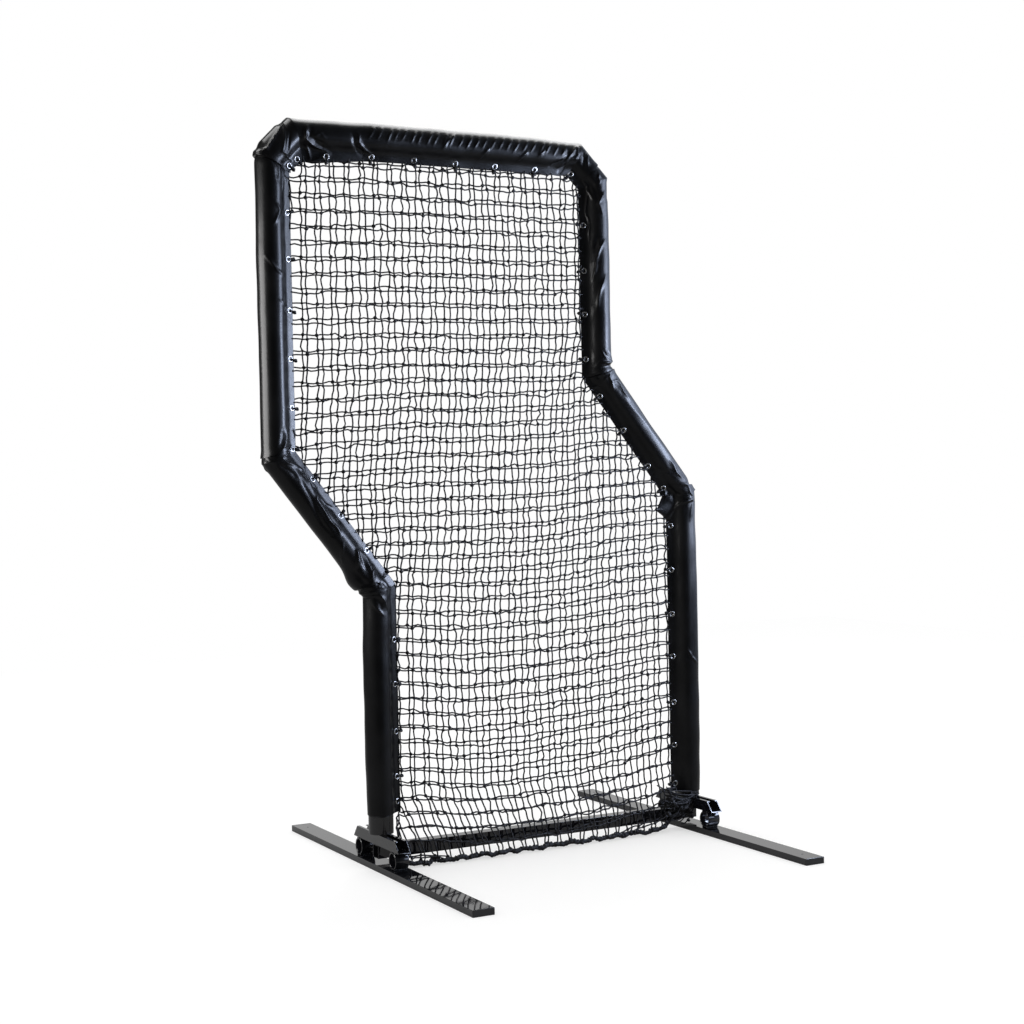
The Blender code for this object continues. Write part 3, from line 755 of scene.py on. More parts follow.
@dataclass
class PadCover:
    """Vinyl cover of one run of the frame, sewn into a flap on the window side.

    start and end are lengths past its first and last outline point, eyelets the lengths where it
    is tied, a pinch how far an end is drawn in and the skew how far its first hem leans. A lobe
    is a bulge of the flap: its length along the run, extra reach and width.
    """

    name: str
    first: int
    last: int
    outline: Outline
    profile: Profile
    start: float = 0.0
    end: float = 0.0
    eyelets: tuple = ()
    creases: tuple = ()
    first_pinch: float = 0.0
    last_pinch: float = 0.0
    first_skew: float = 0.0
    lobes: tuple = ()
    slackness: float = 0.9
    seed: int = 1
    grid: np.ndarray | None = None

    def stations(self) -> tuple[np.ndarray, ...]:
        """Rows along the run, from start past its first point to end past its last one.

        Returns:
            Centre points, mitre vectors, directions, lengths along the run and segment numbers.
        """
        centres, across, along, lengths, owner = [], [], [], [], []
        line = self.outline
        base = line.reach(self.first)
        low, high = base + self.start, line.reach(self.last) + self.end
        for index in range(len(line.points) - 1):
            span_low, span_high = line.reach(index), line.reach(index + 1)
            near_end, far_end = max(low, span_low), min(high, span_high)
            if far_end - near_end < self.profile.sizes.shortest:
                continue
            near, far = line.mitre(index), line.mitre(index + 1)
            count = max(2, round((far_end - near_end) / self.profile.sizes.row_step))
            for k in range(1 if centres else 0, count + 1):
                place = near_end + (far_end - near_end) * k / count
                share = (place - span_low) / (span_high - span_low)
                lean = self.first_skew * max(0.0, 1 - (place - low) / self.profile.sizes.lean_run)
                centres.append(line.points[index].lerp(line.points[index + 1], share))
                across.append(near.lerp(far, share) + line.direction(index) * lean)
                along.append(line.direction(index))
                lengths.append(place - base)
                owner.append(index)
        columns = (centres, across, along, lengths, owner)
        return tuple(np.array(values, dtype=float) for values in columns)

    def _surface(self) -> tuple[np.ndarray, np.ndarray, np.ndarray]:
        """Grid of points of the undisturbed cover, with its two lengths."""
        sizes = self.profile.sizes
        centres, across, along, lengths, _ = self.stations()
        rows = []
        for centre, cross, axis, length in zip(centres, across, along, lengths):
            held = length + sizes.eyelet_reach * float(cross @ axis)
            ring = self.profile.ring(self._slack(held))
            near, far = length - lengths[0], lengths[-1] - length
            squeeze = 1 - self.first_pinch * math.exp(-(near / sizes.pinch_run) ** 2)
            squeeze -= self.last_pinch * math.exp(-(far / sizes.pinch_run) ** 2)
            reach = ring[:, 0] * np.where(ring[:, 0] > sizes.pinch_reach, 1.0, squeeze)
            swell = smoothstep((ring[:, 0] - sizes.lobe_root) / sizes.lobe_run)
            for place, extra, width in self.lobes:
                bulge = max(0.0, 1 - abs(length - place) / width) ** sizes.lobe_round
                reach = reach + extra * bulge * swell
            flat = centre + cross * reach[:, None]
            rows.append(np.stack([flat[:, 0], ring[:, 1] * squeeze, flat[:, 1]], axis=1))
        grid = np.array(rows)
        steps = np.linalg.norm(np.diff(grid[:, :, [0, 2]], axis=0), axis=2)
        stretch = np.concatenate([np.zeros((1, grid.shape[1])), np.cumsum(steps, axis=0)])
        middle = len(rows) // 2
        stretch += lengths[middle] - stretch[middle]
        around = np.broadcast_to(self.profile.round, stretch.shape)
        return grid, stretch, around

    def _slack(self, length: float) -> float:
        """How slack the cover is: tight at the eyelets, puffed between them."""
        if not self.eyelets:
            return self.slackness
        nearest = min(abs(length - place) for place in self.eyelets)
        return self.slackness * (1 - math.exp(-(nearest / self.profile.sizes.tight_run) ** 2))

    def _waves(self, along: np.ndarray, around: np.ndarray) -> np.ndarray:
        """Slow unevenness of hand-fitted vinyl."""
        sizes, chance = self.profile.sizes, random.Random(self.seed)
        total = np.zeros_like(along)
        for _ in range(sizes.waves):
            pace, turn = chance.uniform(*sizes.wave_pace), chance.uniform(*sizes.wave_turn)
            height, phase = chance.uniform(*sizes.wave_height), chance.uniform(*PHASES)
            total += height * np.sin(along * pace + around * turn + phase)
        return total

    def _folds(self, along: np.ndarray, around: np.ndarray) -> np.ndarray:
        """Rise of the cover from all its creases."""
        sizes = self.profile.sizes
        total = np.zeros_like(along)
        for crease in self.creases:
            places = np.array(crease.points)
            steps = np.linalg.norm(np.diff(places, axis=0), axis=1)
            travelled = np.concatenate([[0.0], np.cumsum(steps)]) / max(steps.sum(), 1e-6)
            best = np.full_like(along, np.inf)
            where = np.zeros_like(along)
            for k, (near, far) in enumerate(zip(places, places[1:])):
                run = far - near
                share = (along - near[0]) * run[0] + (around - near[1]) * run[1]
                share = np.clip(share / max(run @ run, 1e-9), 0.0, 1.0)
                gap = np.hypot(along - near[0] - run[0] * share, around - near[1] - run[1] * share)
                closer = gap < best
                best = np.where(closer, gap, best)
                here = travelled[k] + (travelled[k + 1] - travelled[k]) * share
                where = np.where(closer, here, where)
            inward = smoothstep(np.minimum(where, 1 - where) / sizes.fold_tip)
            taper = sizes.fold_end + (1 - sizes.fold_end) * inward
            total += crease.height * taper * np.exp(-(best / crease.width) ** crease.sharpness)
        flap = smoothstep((np.abs(around) - sizes.flap_from) / sizes.flap_run)
        deepest = sizes.deepest - (sizes.deepest - sizes.flap_deepest) * flap
        return np.clip(total, -deepest, sizes.highest)

    def build(self, finish: Material) -> Item:
        """Make the closed cover.

        Args:
            finish: its material.

        Returns:
            The finished object.
        """
        grid, along, around = self._surface()
        down = np.gradient(grid, axis=0)
        over = np.gradient(grid, axis=1)
        normal = np.cross(over, down)
        normal /= np.maximum(np.linalg.norm(normal, axis=2, keepdims=True), 1e-9)
        outwards = grid - np.repeat(grid.mean(axis=1, keepdims=True), grid.shape[1], axis=1)
        if (normal * outwards).sum() < 0:
            normal = -normal
        rise = self._folds(along, around) + self._waves(along, around)
        self.grid = grid + normal * rise[:, :, None]
        return self._close(finish)

    def flap_rows(self, reach: float) -> tuple[np.ndarray, np.ndarray]:
        """Lengths of all rows at a distance from the pad's axis, and their segments."""
        _, across, along, lengths, owner = self.stations()
        return lengths + reach * (across * along).sum(axis=1), owner

    def seat(self, row: int, reach: float, rear: bool) -> tuple[Vector, Vector]:
        """Point and outward normal of the finished cover in its flap.

        Args:
            row: number of the row.
            reach: distance from the pad's axis towards the net.
            rear: whether it lies on the rear face of the flap.
        """
        row = min(max(row, 1), len(self.grid) - 2)
        ring = self.profile.ring(self._slack(self.flap_rows(reach)[0][row]))
        half = len(ring) // 2
        columns = range(half + 1, len(ring) - 1) if rear else range(1, half)
        column = min(columns, key=lambda k: abs(ring[k, 0] - reach))
        down = self.grid[row + 1, column] - self.grid[row - 1, column]
        over = self.grid[row, column + 1] - self.grid[row, column - 1]
        normal = Vector(np.cross(over, down)).normalized()
        if (normal.y > 0) != rear:
            normal = -normal
        return Vector(self.grid[row, column]), normal

    def _close(self, finish: Material) -> Item:
        """Turn the hems in, add the bore and close the whole."""
        centres, across, *_ = self.stations()
        bore = self.profile.inner()
        shrink = 1 - self.profile.sizes.hem / self.profile.sizes.hem_radius

        def inner_ring(row: int) -> np.ndarray:
            """Ring of the bore at a row."""
            flat = centres[row] + across[row] * bore[:, :1]
            return np.stack([flat[:, 0], bore[:, 1], flat[:, 1]], axis=1)

        def hem_ring(row: int) -> np.ndarray:
            """Ring of the cover at a row, turned in."""
            middle = np.array([centres[row][0], 0.0, centres[row][1]])
            return middle + (self.grid[row] - middle) * shrink

        last = len(self.grid) - 1
        picked = [*range(last, 0, -self.profile.sizes.bore_step), 0]
        rings = [hem_ring(0), *self.grid, hem_ring(last), *(inner_ring(row) for row in picked)]
        return make_skin(self.name, rings, finish, self.profile.sizes.crisp)


@dataclass
class FoamSleeve:
    """Foam tube under one cover, drawn in where the cover holds it and full where it shows.

    A bare length is how much of an end shows, and a groove is its angle, depth and width.
    """

    name: str
    first: int
    last: int
    outline: Outline
    bore: float
    squeezed: float = 0.0322
    full: float = 0.0362
    bare_first: float = 0.0
    bare_last: float = 0.0
    grooves: tuple = ()
    swell_run: float = 0.012
    crisp: float = 50.0
    row_step: float = 0.008
    columns: int = 72

    def build(self, finish: Material) -> Item:
        """Make the sleeve as a closed tube."""
        line = self.outline
        angles = (np.arange(self.columns) + 0.5) / self.columns * math.tau
        turn = np.stack([np.cos(angles), -np.sin(angles)], axis=1)
        spans = [(line.points[i + 1] - line.points[i]).length for i in range(self.first, self.last)]
        total = sum(spans)
        loops, inner = [], []
        travelled = 0.0
        for index, span in zip(range(self.first, self.last), spans):
            near, far = line.mitre(index), line.mitre(index + 1)
            count = max(3, round(span / self.row_step))
            for k in range(count + 1):
                if k == 0 and index > self.first:
                    continue
                share = k / count
                place = travelled + span * share
                centre = line.points[index].lerp(line.points[index + 1], share)
                cross = near.lerp(far, share)
                radius = np.full(self.columns, self.squeezed)
                for bare, gap in ((self.bare_first, place), (self.bare_last, total - place)):
                    if bare:
                        covered = smoothstep(np.array((gap - bare) / self.swell_run))
                        radius += (self.full - self.squeezed) * (1 - covered)
                for angle, depth, width in self.grooves:
                    away = np.angle(np.exp(1j * (angles - angle)))
                    radius -= depth * np.exp(-(away * self.full / width) ** 2)
                for rows, size in ((loops, radius), (inner, np.full(self.columns, self.bore))):
                    reach = turn[:, 0] * size
                    rows.append(np.stack([centre.x + cross.x * reach, turn[:, 1] * size,
                                          centre.y + cross.y * reach], axis=1))
            travelled += span
        return make_skin(self.name, loops + inner[::-1], finish, self.crisp)


class Run(Enum):
    """Padded runs of the frame.

    Each has its first and last outline point, how far past these its cover starts and ends,
    how far the cover is drawn in at its ends, negative where its hem stands over the next,
    and how far its first hem leans from square. The covers of the lower posts end at the feet.
    """

    LEFT_LOWER_POST = (0, 1, 0.0, 0.045, 0.0, 0.13, 0.0)
    LEFT_DIAGONAL = (1, 2, 0.032, 0.030, -0.03, 0.12, 0.0)
    LEFT_UPPER_POST = (2, 4, 0.016, -0.056, -0.07, 0.12, 0.0)
    TOP_RAIL = (4, 7, -0.062, 0.012, -0.02, -0.05, 0.0)
    RIGHT_UPPER_POST = (7, 9, 0.004, 0.034, 0.10, 0.14, 0.0)
    RIGHT_DIAGONAL = (9, 10, 0.010, -0.022, -0.07, 0.12, 0.0)
    RIGHT_LOWER_POST = (10, 11, -0.030, 0.0, -0.04, 0.0, -0.44)

    @property
    def title(self) -> str:
        """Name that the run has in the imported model."""
        return self.name.lower()

    def cover(self, outline: Outline, profile: Profile, foot: float) -> PadCover:
        """Plain cover of this run, whose foot end stands a height above the outline's end."""
        first, last, start, end, near, far, lean = self.value
        made = PadCover(self.title + "_vinyl", first, last, outline, profile, start, end,
                        first_pinch=near, last_pinch=far, first_skew=lean, seed=7 + first)
        made.creases = tuple(Crease.drawn(*row) for row in FOLDS[self])
        if self is Run.LEFT_LOWER_POST:
            made.start = foot
        if self is Run.TOP_RAIL:
            made.lobes = ((0.08, 0.018, 0.20),)
        if self is Run.RIGHT_LOWER_POST:
            made.end = -foot
            made.lobes = ((0.026, 0.036, 0.042),)
        return made


# Places of the eyelets, by outline segment: x on the top rail, otherwise height
EYELETS = {
    0: (0.659, 0.529, 0.392, 0.261, 0.190),
    1: (1.127, 1.021, 0.919, 0.820),
    2: (1.873, 1.743, 1.601, 1.464, 1.328, 1.212),
    3: (2.006,),
    4: (2.030,),
    5: (-0.511, -0.368, -0.235, -0.102, 0.030, 0.166),
    6: (2.041,),
    8: (1.888, 1.749, 1.615, 1.478),
    9: (1.365, 1.260, 1.147, 1.077),
    10: (0.958, 0.819, 0.680, 0.545, 0.400, 0.265, 0.143),
}
TOP_SEGMENT = 5
TUBE_CLEARANCE = 0.0002
UPRIGHT = (math.pi / 2, 0.0, 0.0)

# Creases of each cover, raised or sunken: height and width in tenths of a millimetre, sharpness,
# then the line's places in millimetres, each along the run and round the pad
FOLDS = {
    Run.LEFT_LOWER_POST: (
        (35, 40, 1.4, 751, -97, 739, -82, 728, -95, 708, -101),
        (-30, 56, 2, 746, -73, 732, -71, 722, -71),
        (20, 24, 2, 732, -73, 726, -69, 718, -66),
        (20, 24, 2, 731, -77, 723, -73, 716, -69),
        (20, 24, 2, 728, -82, 720, -77, 713, -73),
        (20, 24, 2, 722, -86, 716, -82, 710, -77),
        (30, 40, 1.5, 691, -55, 671, -75, 648, -80),
        (27, 42, 1.5, 665, -38, 650, -51, 632, -62),
        (-24, 70, 2, 688, -42, 668, -58, 646, -64),
        (30, 47, 2, 696, 4, 694, -24, 692, -42),
        (42, 500, 2, 80, 0, 300, 0, 680, 0),
        (30, 50, 2, 706, -50, 704, -10, 706, 30),
    ),
    Run.LEFT_DIAGONAL: (
        (24, 65, 2, 506, -15, 493, -31, 482, -40),
        (32, 40, 1.4, 497, -113, 491, -84, 487, -66),
        (38, 42, 1.4, 487, -66, 466, -71, 452, -86, 444, -93, 431, -106, 400, -103, 366, -88),
        (-30, 73, 2, 474, -49, 456, -55, 436, -64, 413, -69),
        (22, 47, 2, 475, 9, 469, 9, 459, 9),
        (32, 47, 1.5, 432, -122, 367, -108, 333, -73, 292, -71, 219, -73),
        (-24, 63, 2, 429, -86, 360, -66, 296, -49, 217, -46),
        (24, 40, 2, 339, -93, 311, -93, 290, -115),
        (22, 38, 2, 251, -73, 234, -73, 207, -64),
        (27, 40, 2, 183, -55, 156, -38, 126, -22),
        (27, 40, 2, 155, -88, 128, -71, 99, -46),
        (27, 42, 2, 78, -88, 51, -66, 30, -49),
        (35, 45, 1.4, 153, -86, 138, -80, 120, -71, 103, -55),
        (38, 42, 1.4, 142, -115, 120, -103, 94, -86, 71, -73, 50, -60),
        (-35, 67, 2, 149, -99, 126, -88, 96, -71, 70, -58),
        (27, 35, 1.4, 81, -82, 80, -99, 71, -84, 63, -71, 50, -58),
        (24, 38, 2, 37, -122, 30, -108, 29, -88),
        (27, 47, 2, 40, -18, 32, -29, 31, -46),
        (125, 340, 2, 56, -40, 53, 0, 56, 40),
    ),
    Run.LEFT_UPPER_POST: (
        (35, 47, 1.5, 831, -73, 820, -106, 799, -103, 737, -93),
        (-24, 63, 2, 834, -62, 811, -71, 777, -73),
        (19, 35, 2, 794, -108, 783, -133),
        (22, 41, 2, 718, -66, 693, -84, 648, -53),
        (24, 47, 2, 561, -38, 524, -62, 508, -93),
        (19, 41, 2, 442, -73, 426, -115),
        (32, 42, 1.4, 81, -86, 56, -84, 36, -80, 24, -69),
        (-24, 62, 2, 80, -71, 56, -69, 34, -64),
        (19, 42, 2, 79, -119, 75, -133, 65, -133),
        (19, 35, 2, 34, -113, 33, -95),
        (30, 400, 2, 300, -30, 550, -30, 750, -30),
    ),
    Run.TOP_RAIL: (
        (57, 35, 1.2, -107, 11, -98, -27, -66, -38, -39, -33, -11, -29, 12, -18),
        (-22, 84, 2, -76, 2, -53, 2, -25, 2, 3, 2),
        (24, 35, 1.4, 17, -15, 0, -53, -16, -71, 1, -86, 15, -123),
        (-22, 49, 2, 25, -46, 11, -73, 7, -91),
        (41, 50, 1.5, 83, -44, 74, -60, 78, -77, 107, -97, 136, -115, 148, -124),
        (-35, 63, 2, 93, -51, 88, -66, 106, -82, 139, -97),
        (27, 40, 1.5, 73, -75, 89, -108, 87, -123),
        (19, 35, 2, 87, -123, 150, -128),
        (16, 35, 2, 97, -71, 120, -64, 135, -75),
        (16, 47, 2, 76, -46, 77, -73, 101, -95, 130, -115, 153, -119),
        (-27, 56, 2, 104, -80, 138, -113),
        (41, 47, 1.5, 237, -55, 237, -73, 259, -97, 280, -117),
        (-35, 63, 2, 218, -55, 227, -82, 257, -113),
        (20, 33, 1.5, 268, -64, 278, -51, 292, -29),
        (21, 33, 1.5, 294, -64, 303, -49, 317, -27),
        (24, 33, 1.5, 325, -64, 332, -51, 346, -31),
        (19, 33, 1.5, 347, -60, 355, -46, 370, -27),
        (19, 33, 1.5, 369, -60, 378, -49, 393, -29),
        (25, 33, 1.5, 401, -66, 408, -53, 422, -35),
        (20, 33, 1.5, 421, -69, 428, -53, 442, -33),
        (25, 33, 1.5, 451, -64, 459, -49, 473, -31),
        (23, 33, 1.5, 471, -64, 479, -51, 493, -31),
        (18, 33, 1.5, 501, -62, 509, -49, 522, -31),
        (26, 33, 1.5, 523, -64, 531, -51, 546, -31),
        (19, 33, 1.5, 553, -69, 562, -55, 575, -33),
        (26, 33, 1.5, 579, -69, 588, -53, 602, -33),
        (21, 33, 1.5, 605, -64, 614, -51, 626, -33),
        (18, 33, 1.5, 631, -62, 639, -49, 653, -31),
        (17, 33, 1.5, 661, -62, 669, -49, 684, -31),
        (19, 33, 1.5, 687, -66, 696, -51, 711, -29),
        (20, 33, 1.5, 713, -66, 719, -53, 735, -31),
        (21, 33, 1.5, 736, -66, 745, -53, 759, -33),
        (19, 33, 1.5, 767, -62, 776, -49, 790, -29),
        (20, 33, 1.5, 795, -62, 804, -49, 819, -29),
        (17, 33, 1.5, 824, -69, 833, -53, 847, -33),
        (24, 33, 1.5, 847, -66, 855, -51, 871, -29),
        (20, 33, 1.5, 874, -66, 883, -51, 896, -31),
        (17, 33, 1.5, 903, -62, 911, -49, 928, -27),
        (27, 33, 1.5, 936, -64, 943, -51, 958, -31),
        (30, 45, 1.5, 534, -40, 515, -55, 503, -71),
        (30, 45, 1.5, 657, -60, 636, -82, 627, -101),
        (30, 45, 1.5, 785, -62, 769, -77, 757, -91),
        (30, 45, 1.5, 844, -58, 824, -77),
        (38, 42, 1.4, 944, -46, 931, -62, 921, -77),
        (24, 38, 2, 915, -49, 909, -55, 904, -60),
        (30, 40, 1.5, 958, -64, 952, -69, 945, -71),
        (30, 40, 1.5, 962, -31, 957, -46, 962, -64),
        (-35, 59, 2, 923, -55, 925, -66, 913, -80, 886, -91, 874, -101),
        (35, 40, 1.4, 967, -71, 941, -71, 920, -86, 900, -103),
        (-35, 62, 2, 943, -73, 921, -88, 915, -122),
        (30, 38, 1.4, 1003, -35, 1002, -53, 1008, -64),
        (-22, 67, 2, 979, -46, 986, -62, 986, -80),
        (80, 450, 2, 60, 0, 250, 0, 550, 0, 800, 0, 970, 0),
        (128, 340, 2, -90, 0, -55, 0, -10, 0, 20, 0),
    ),
    Run.RIGHT_UPPER_POST: (
        (27, 40, 2, 25, -46, 41, -60, 61, -66),
        (24, 38, 2, 89, -60, 103, -51),
        (24, 35, 2, 36, -103, 66, -101, 97, -86),
        (-22, 70, 2, 21, -86, 49, -88, 81, -75, 111, -71),
        (41, 47, 1.5, 91, -49, 117, -69, 153, -60),
        (46, 47, 1.4, 237, -49, 253, -66, 292, -86, 345, -91),
        (-35, 70, 2, 217, -73, 255, -82),
        (35, 53, 1.5, 345, -49, 384, -69, 439, -86),
        (22, 35, 2, 66, -99, 137, -111, 220, -99),
        (22, 26, 1.5, 566, -73, 582, -69, 599, -55, 620, -22),
        (24, 29, 1.5, 568, -64, 584, -55, 605, -35, 620, -22),
        (24, 29, 1.5, 574, -49, 595, -35, 614, -22),
        (22, 35, 2, 607, -86, 599, -77, 612, -53, 624, -22),
        (-50, 450, 2, 50, 0, 90, 0, 130, 0),
        (-34, 60, 2, 622, -85, 626, -20, 626, 60),
        (30, 42, 1.5, 610, -75, 615, -20, 615, 50),
    ),
    Run.RIGHT_DIAGONAL: (
        (30, 33, 1.4, 8, -58, 9, -42, 10, -20),
        (22, 30, 2, 7, -82, 7, -84, 15, -88),
        (19, 35, 2, 39, -122, 43, -99, 30, -82, 18, -58),
        (32, 35, 1.4, 11, -44, 22, -58, 42, -64, 78, -82),
        (-12, 56, 2, 22, -62, 44, -69, 80, -88),
        (35, 40, 1.4, 43, -60, 45, -46, 58, -44, 88, -51, 120, -44),
        (-10, 59, 2, 57, -60, 74, -62, 105, -60),
        (14, 71, 2, 82, -62, 180, -51, 278, -42, 405, -40),
        (35, 42, 1.4, 362, -51, 385, -51, 407, -55, 434, -53),
        (-16, 64, 2, 371, -109, 383, -93, 393, -80, 399, -62),
        (-8, 70, 2, 356, -64, 383, -64, 409, -69),
    ),
    Run.RIGHT_LOWER_POST: (
        (24, 35, 2, 496, -75, 522, -62, 543, -40),
        (32, 47, 1.4, -34, -69, -31, -58, -28, -51, -3, -55, 20, -40),
        (-24, 64, 2, -45, -123, -4, -101, 8, -80, 6, -58),
        (-16, 50, 2, 14, -95, 20, -80, 16, -60),
        (-12, 45, 2, 11, -53, 25, -35),
        (41, 42, 1.4, 25, -38, 26, -58, 26, -75, 35, -91, 45, -106, 66, -128),
        (30, 42, 1.5, 14, -55, 33, -42, 57, -51, 87, -60),
        (-10, 70, 2, 32, -71, 53, -69, 75, -77),
        (30, 42, 2, -50, -127, -30, -123, 2, -113, 20, -108),
        (-22, 56, 2, 859, -115, 904, -123),
        (19, 47, 2, 874, -124, 914, -132),
        (46, 500, 2, 60, 0, 500, 0, 930, 0),
    ),
}


@dataclass
class Lacing:
    """Eyelets in the flap and the cords that tie the net to them."""

    outline: Outline
    reach: float
    ring_radius: float = 0.0072
    ring_steps: int = 28
    wire_sides: int = 10
    loop_steps: int = 18
    cord_sides: int = 8
    seed: int = 11
    ring_wire: float = 0.0021
    ring_flat: float = 0.62
    cord: float = 0.0019
    cord_reach: float = 0.0195
    loop_depth: float = 0.0085
    knot: float = 0.0050
    knot_place: float = 0.86
    knot_stretch: tuple = (1.25, 1.0, 1.2)
    knot_roughness: tuple = (210.0, 1.0, 0.006)
    tilt: float = 0.12
    roll: float = 0.3
    margin: float = 0.03
    end_margin: float = 0.004
    covers: list = field(default_factory=list)

    def spots(self) -> list[tuple[int, float]]:
        """Segment and distance along it of every eyelet."""
        found = []
        for index, values in EYELETS.items():
            start, along = self.outline.points[index], self.outline.direction(index)
            across = self.outline.inward(index)
            for value in values:
                if index == TOP_SEGMENT:
                    found.append((index, value - start.x))
                else:
                    found.append((index, (value - start.y - across.y * self.reach) / along.y))
        return found

    def lengths(self, cover: PadCover) -> tuple:
        """Lengths along a cover's run of the eyelets in it."""
        line = self.outline
        base = line.reach(cover.first)
        low, high = cover.start, line.reach(cover.last) + cover.end - base
        places = [line.reach(index) + away - base for index, away in self.spots()]
        return tuple(place for place in places if low - self.margin <= place <= high + self.margin)

    def seats(self, rear: bool) -> list[tuple[Vector, Vector, Vector]]:
        """Place, outward normal and direction to the net of every eyelet on one face."""
        found = []
        for index, away in self.spots():
            across = self.outline.inward(index)
            total = self.outline.reach(index) + away
            for cover in self.covers:
                length = total - self.outline.reach(cover.first)
                rows, owner = cover.flap_rows(self.reach)
                rows = np.where(owner == index, rows, np.nan)
                if np.isnan(rows).all():
                    continue
                low, high = np.nanmin(rows) + self.end_margin, np.nanmax(rows) - self.end_margin
                if low < length < high:
                    row = int(np.nanargmin(np.abs(rows - length)))
                    place, normal = cover.seat(row, self.reach, rear)
                    found.append((place, normal, Vector((across.x, 0.0, across.y))))
                    break
        return found

    def _marks(self, name: str, seats: list) -> Item:
        """Loose points at the eyelets that carry their turn."""
        chance = random.Random(self.seed)
        points, turns = [], []
        for place, normal, across in seats:
            x_axis = (across - normal * across.dot(normal)).normalized()
            basis = Matrix((x_axis, normal.cross(x_axis), normal)).transposed()
            tilt = Matrix.Rotation(chance.uniform(-self.tilt, self.tilt), 3, "X")
            roll = Matrix.Rotation(chance.uniform(-self.roll, self.roll), 3, "Z")
            points.append(place)
            turns.append((basis @ roll @ tilt).to_euler())
        item = make_item(name, points)
        store = item.data.attributes.new("turn", "FLOAT_VECTOR", "POINT")
        store.data.foreach_set("vector", np.array(turns, dtype=np.float32).ravel())
        return item

    def eyelets(self, finish: Material) -> Item:
        """Nickel ring at every place."""
        recipe = Recipe("eyelet_ring")
        ring = recipe.circle(recipe.size("Ring radius", self.ring_radius), self.ring_steps)
        body = recipe.tube(ring, recipe.size("Wire radius", self.ring_wire), self.wire_sides)
        flat = recipe.vector(1.0, 1.0, recipe.size("Flatness", self.ring_flat))
        turn = recipe.stored("turn", "FLOAT_VECTOR")
        rings = recipe.scatter(recipe.move(body, Scale=flat), recipe.source, Rotation=turn)
        marks = self._marks("eyelets", self.seats(False) + self.seats(True))
        return recipe.bake(marks, rings, finish)

    def cords(self, finish: Material) -> Item:
        """Cord through every eyelet round the net's edge, with its knot."""
        recipe = Recipe("net_tie")
        wire = recipe.size("Cord radius", self.cord)
        knot = recipe.size("Knot size", self.knot)
        reach = recipe.size("Loop reach", self.cord_reach)
        half = reach * 0.5
        loop = recipe.move(recipe.circle(1.0, self.loop_steps), Rotation=UPRIGHT,
                           Scale=recipe.vector(half, self.loop_depth, 1.0),
                           Translation=recipe.vector(half, 0.0, 0.0))
        lump = recipe.roughen(recipe.lump(knot, 3), *self.knot_roughness)
        far = recipe.vector(reach * self.knot_place, 0.0, 0.0)
        tied = recipe.move(lump, Translation=far, Scale=self.knot_stretch)
        both = recipe.join(recipe.tube(loop, wire, self.cord_sides), tied)
        turn = recipe.stored("turn", "FLOAT_VECTOR")
        ties = recipe.scatter(both, recipe.source, Rotation=turn)
        middles = [((near[0] + far[0]) / 2, Vector((0.0, -1.0, 0.0)), near[2])
                   for near, far in zip(self.seats(False), self.seats(True))]
        return recipe.bake(self._marks("net_ties", middles), ties, finish)


# ------------------------------------------------------------------------ net


# How far the hung net is drawn from a square one, in millimetres, as read from the photograph:
# one row for each height, from the lowest up, and one value for each x from the start on
DRAPE_HEIGHTS = (0.02, 0.20, 0.35, 0.50, 0.65, 0.80, 0.95, 1.10, 1.25, 1.40, 1.55, 1.70, 1.85, 2.00)
DRAPE_START = -0.60
DRAPE_STEP = 0.12
# to the right
DRAPE_ACROSS = (
    (32, 12, 4, -7, -17, -26, -39, -50, -54, -59, -63),  # 0.02
    *[(-38, -54, -54, -55, -55, -54, -55, -56, -54, -51, -49)] * 4,  # 0.20 to 0.65
    (-24, -32, -41, -50, -49, -48, -51, -54, -53, -52, -50),  # 0.80
    (-24, -23, -26, -34, -36, -35, -39, -41, -44, -46, -49),  # 0.95
    (-14, -25, -30, -31, -31, -30, -33, -33, -41, -45, -50),  # 1.10
    (-14, -11, -14, -16, -20, -24, -25, -32, -42, -47, -45),  # 1.25
    (-5, -3, -1, -4, -11, -15, -15, -18, -40, -43, -48),  # 1.40
    (-3, -1, 0, 0, -3, -4, -4, -2, -1, -2, -43),  # 1.55
    (-2, 0, 3, 4, 2, 0, -2, -2, 0, 0, -1),  # 1.70
    (1, 2, 5, 6, 4, 2, -3, -2, 0, 0, -1),  # 1.85
    (1, 2, 3, 5, 1, -3, -5, -3, -1, 0, -1),  # 2.00
)
# upwards
DRAPE_UP = (
    *[(62, 68, 74, 66, 44, 39, 41, 43, 52, 68, 87)] * 2,  # 0.02 and 0.20
    (59, 64, 67, 53, 34, 29, 32, 44, 53, 68, 81),  # 0.35
    (56, 62, 62, 44, 26, 27, 32, 42, 47, 58, 72),  # 0.50
    (45, 57, 56, 41, 29, 29, 31, 33, 40, 54, 67),  # 0.65
    (21, 23, 44, 33, 26, 23, 24, 28, 44, 57, 66),  # 0.80
    (11, 20, 19, 18, 15, 15, 18, 28, 44, 53, 60),  # 0.95
    (-2, 8, 13, 15, 14, 18, 20, 25, 39, 46, 57),  # 1.10
    (-6, 2, 9, 17, 15, 17, 21, 26, 43, 44, 47),  # 1.25
    (-2, 1, 8, 15, 14, 13, 18, 25, 39, 46, 44),  # 1.40
    (0, 6, 10, 13, 12, 13, 19, 21, 27, 27, 45),  # 1.55
    (-1, 6, 12, 14, 17, 18, 21, 21, 25, 24, 24),  # 1.70
    (3, 6, 10, 13, 15, 16, 16, 21, 24, 24, 23),  # 1.85
    (7, 10, 12, 13, 15, 16, 17, 19, 23, 23, 22),  # 2.00
)


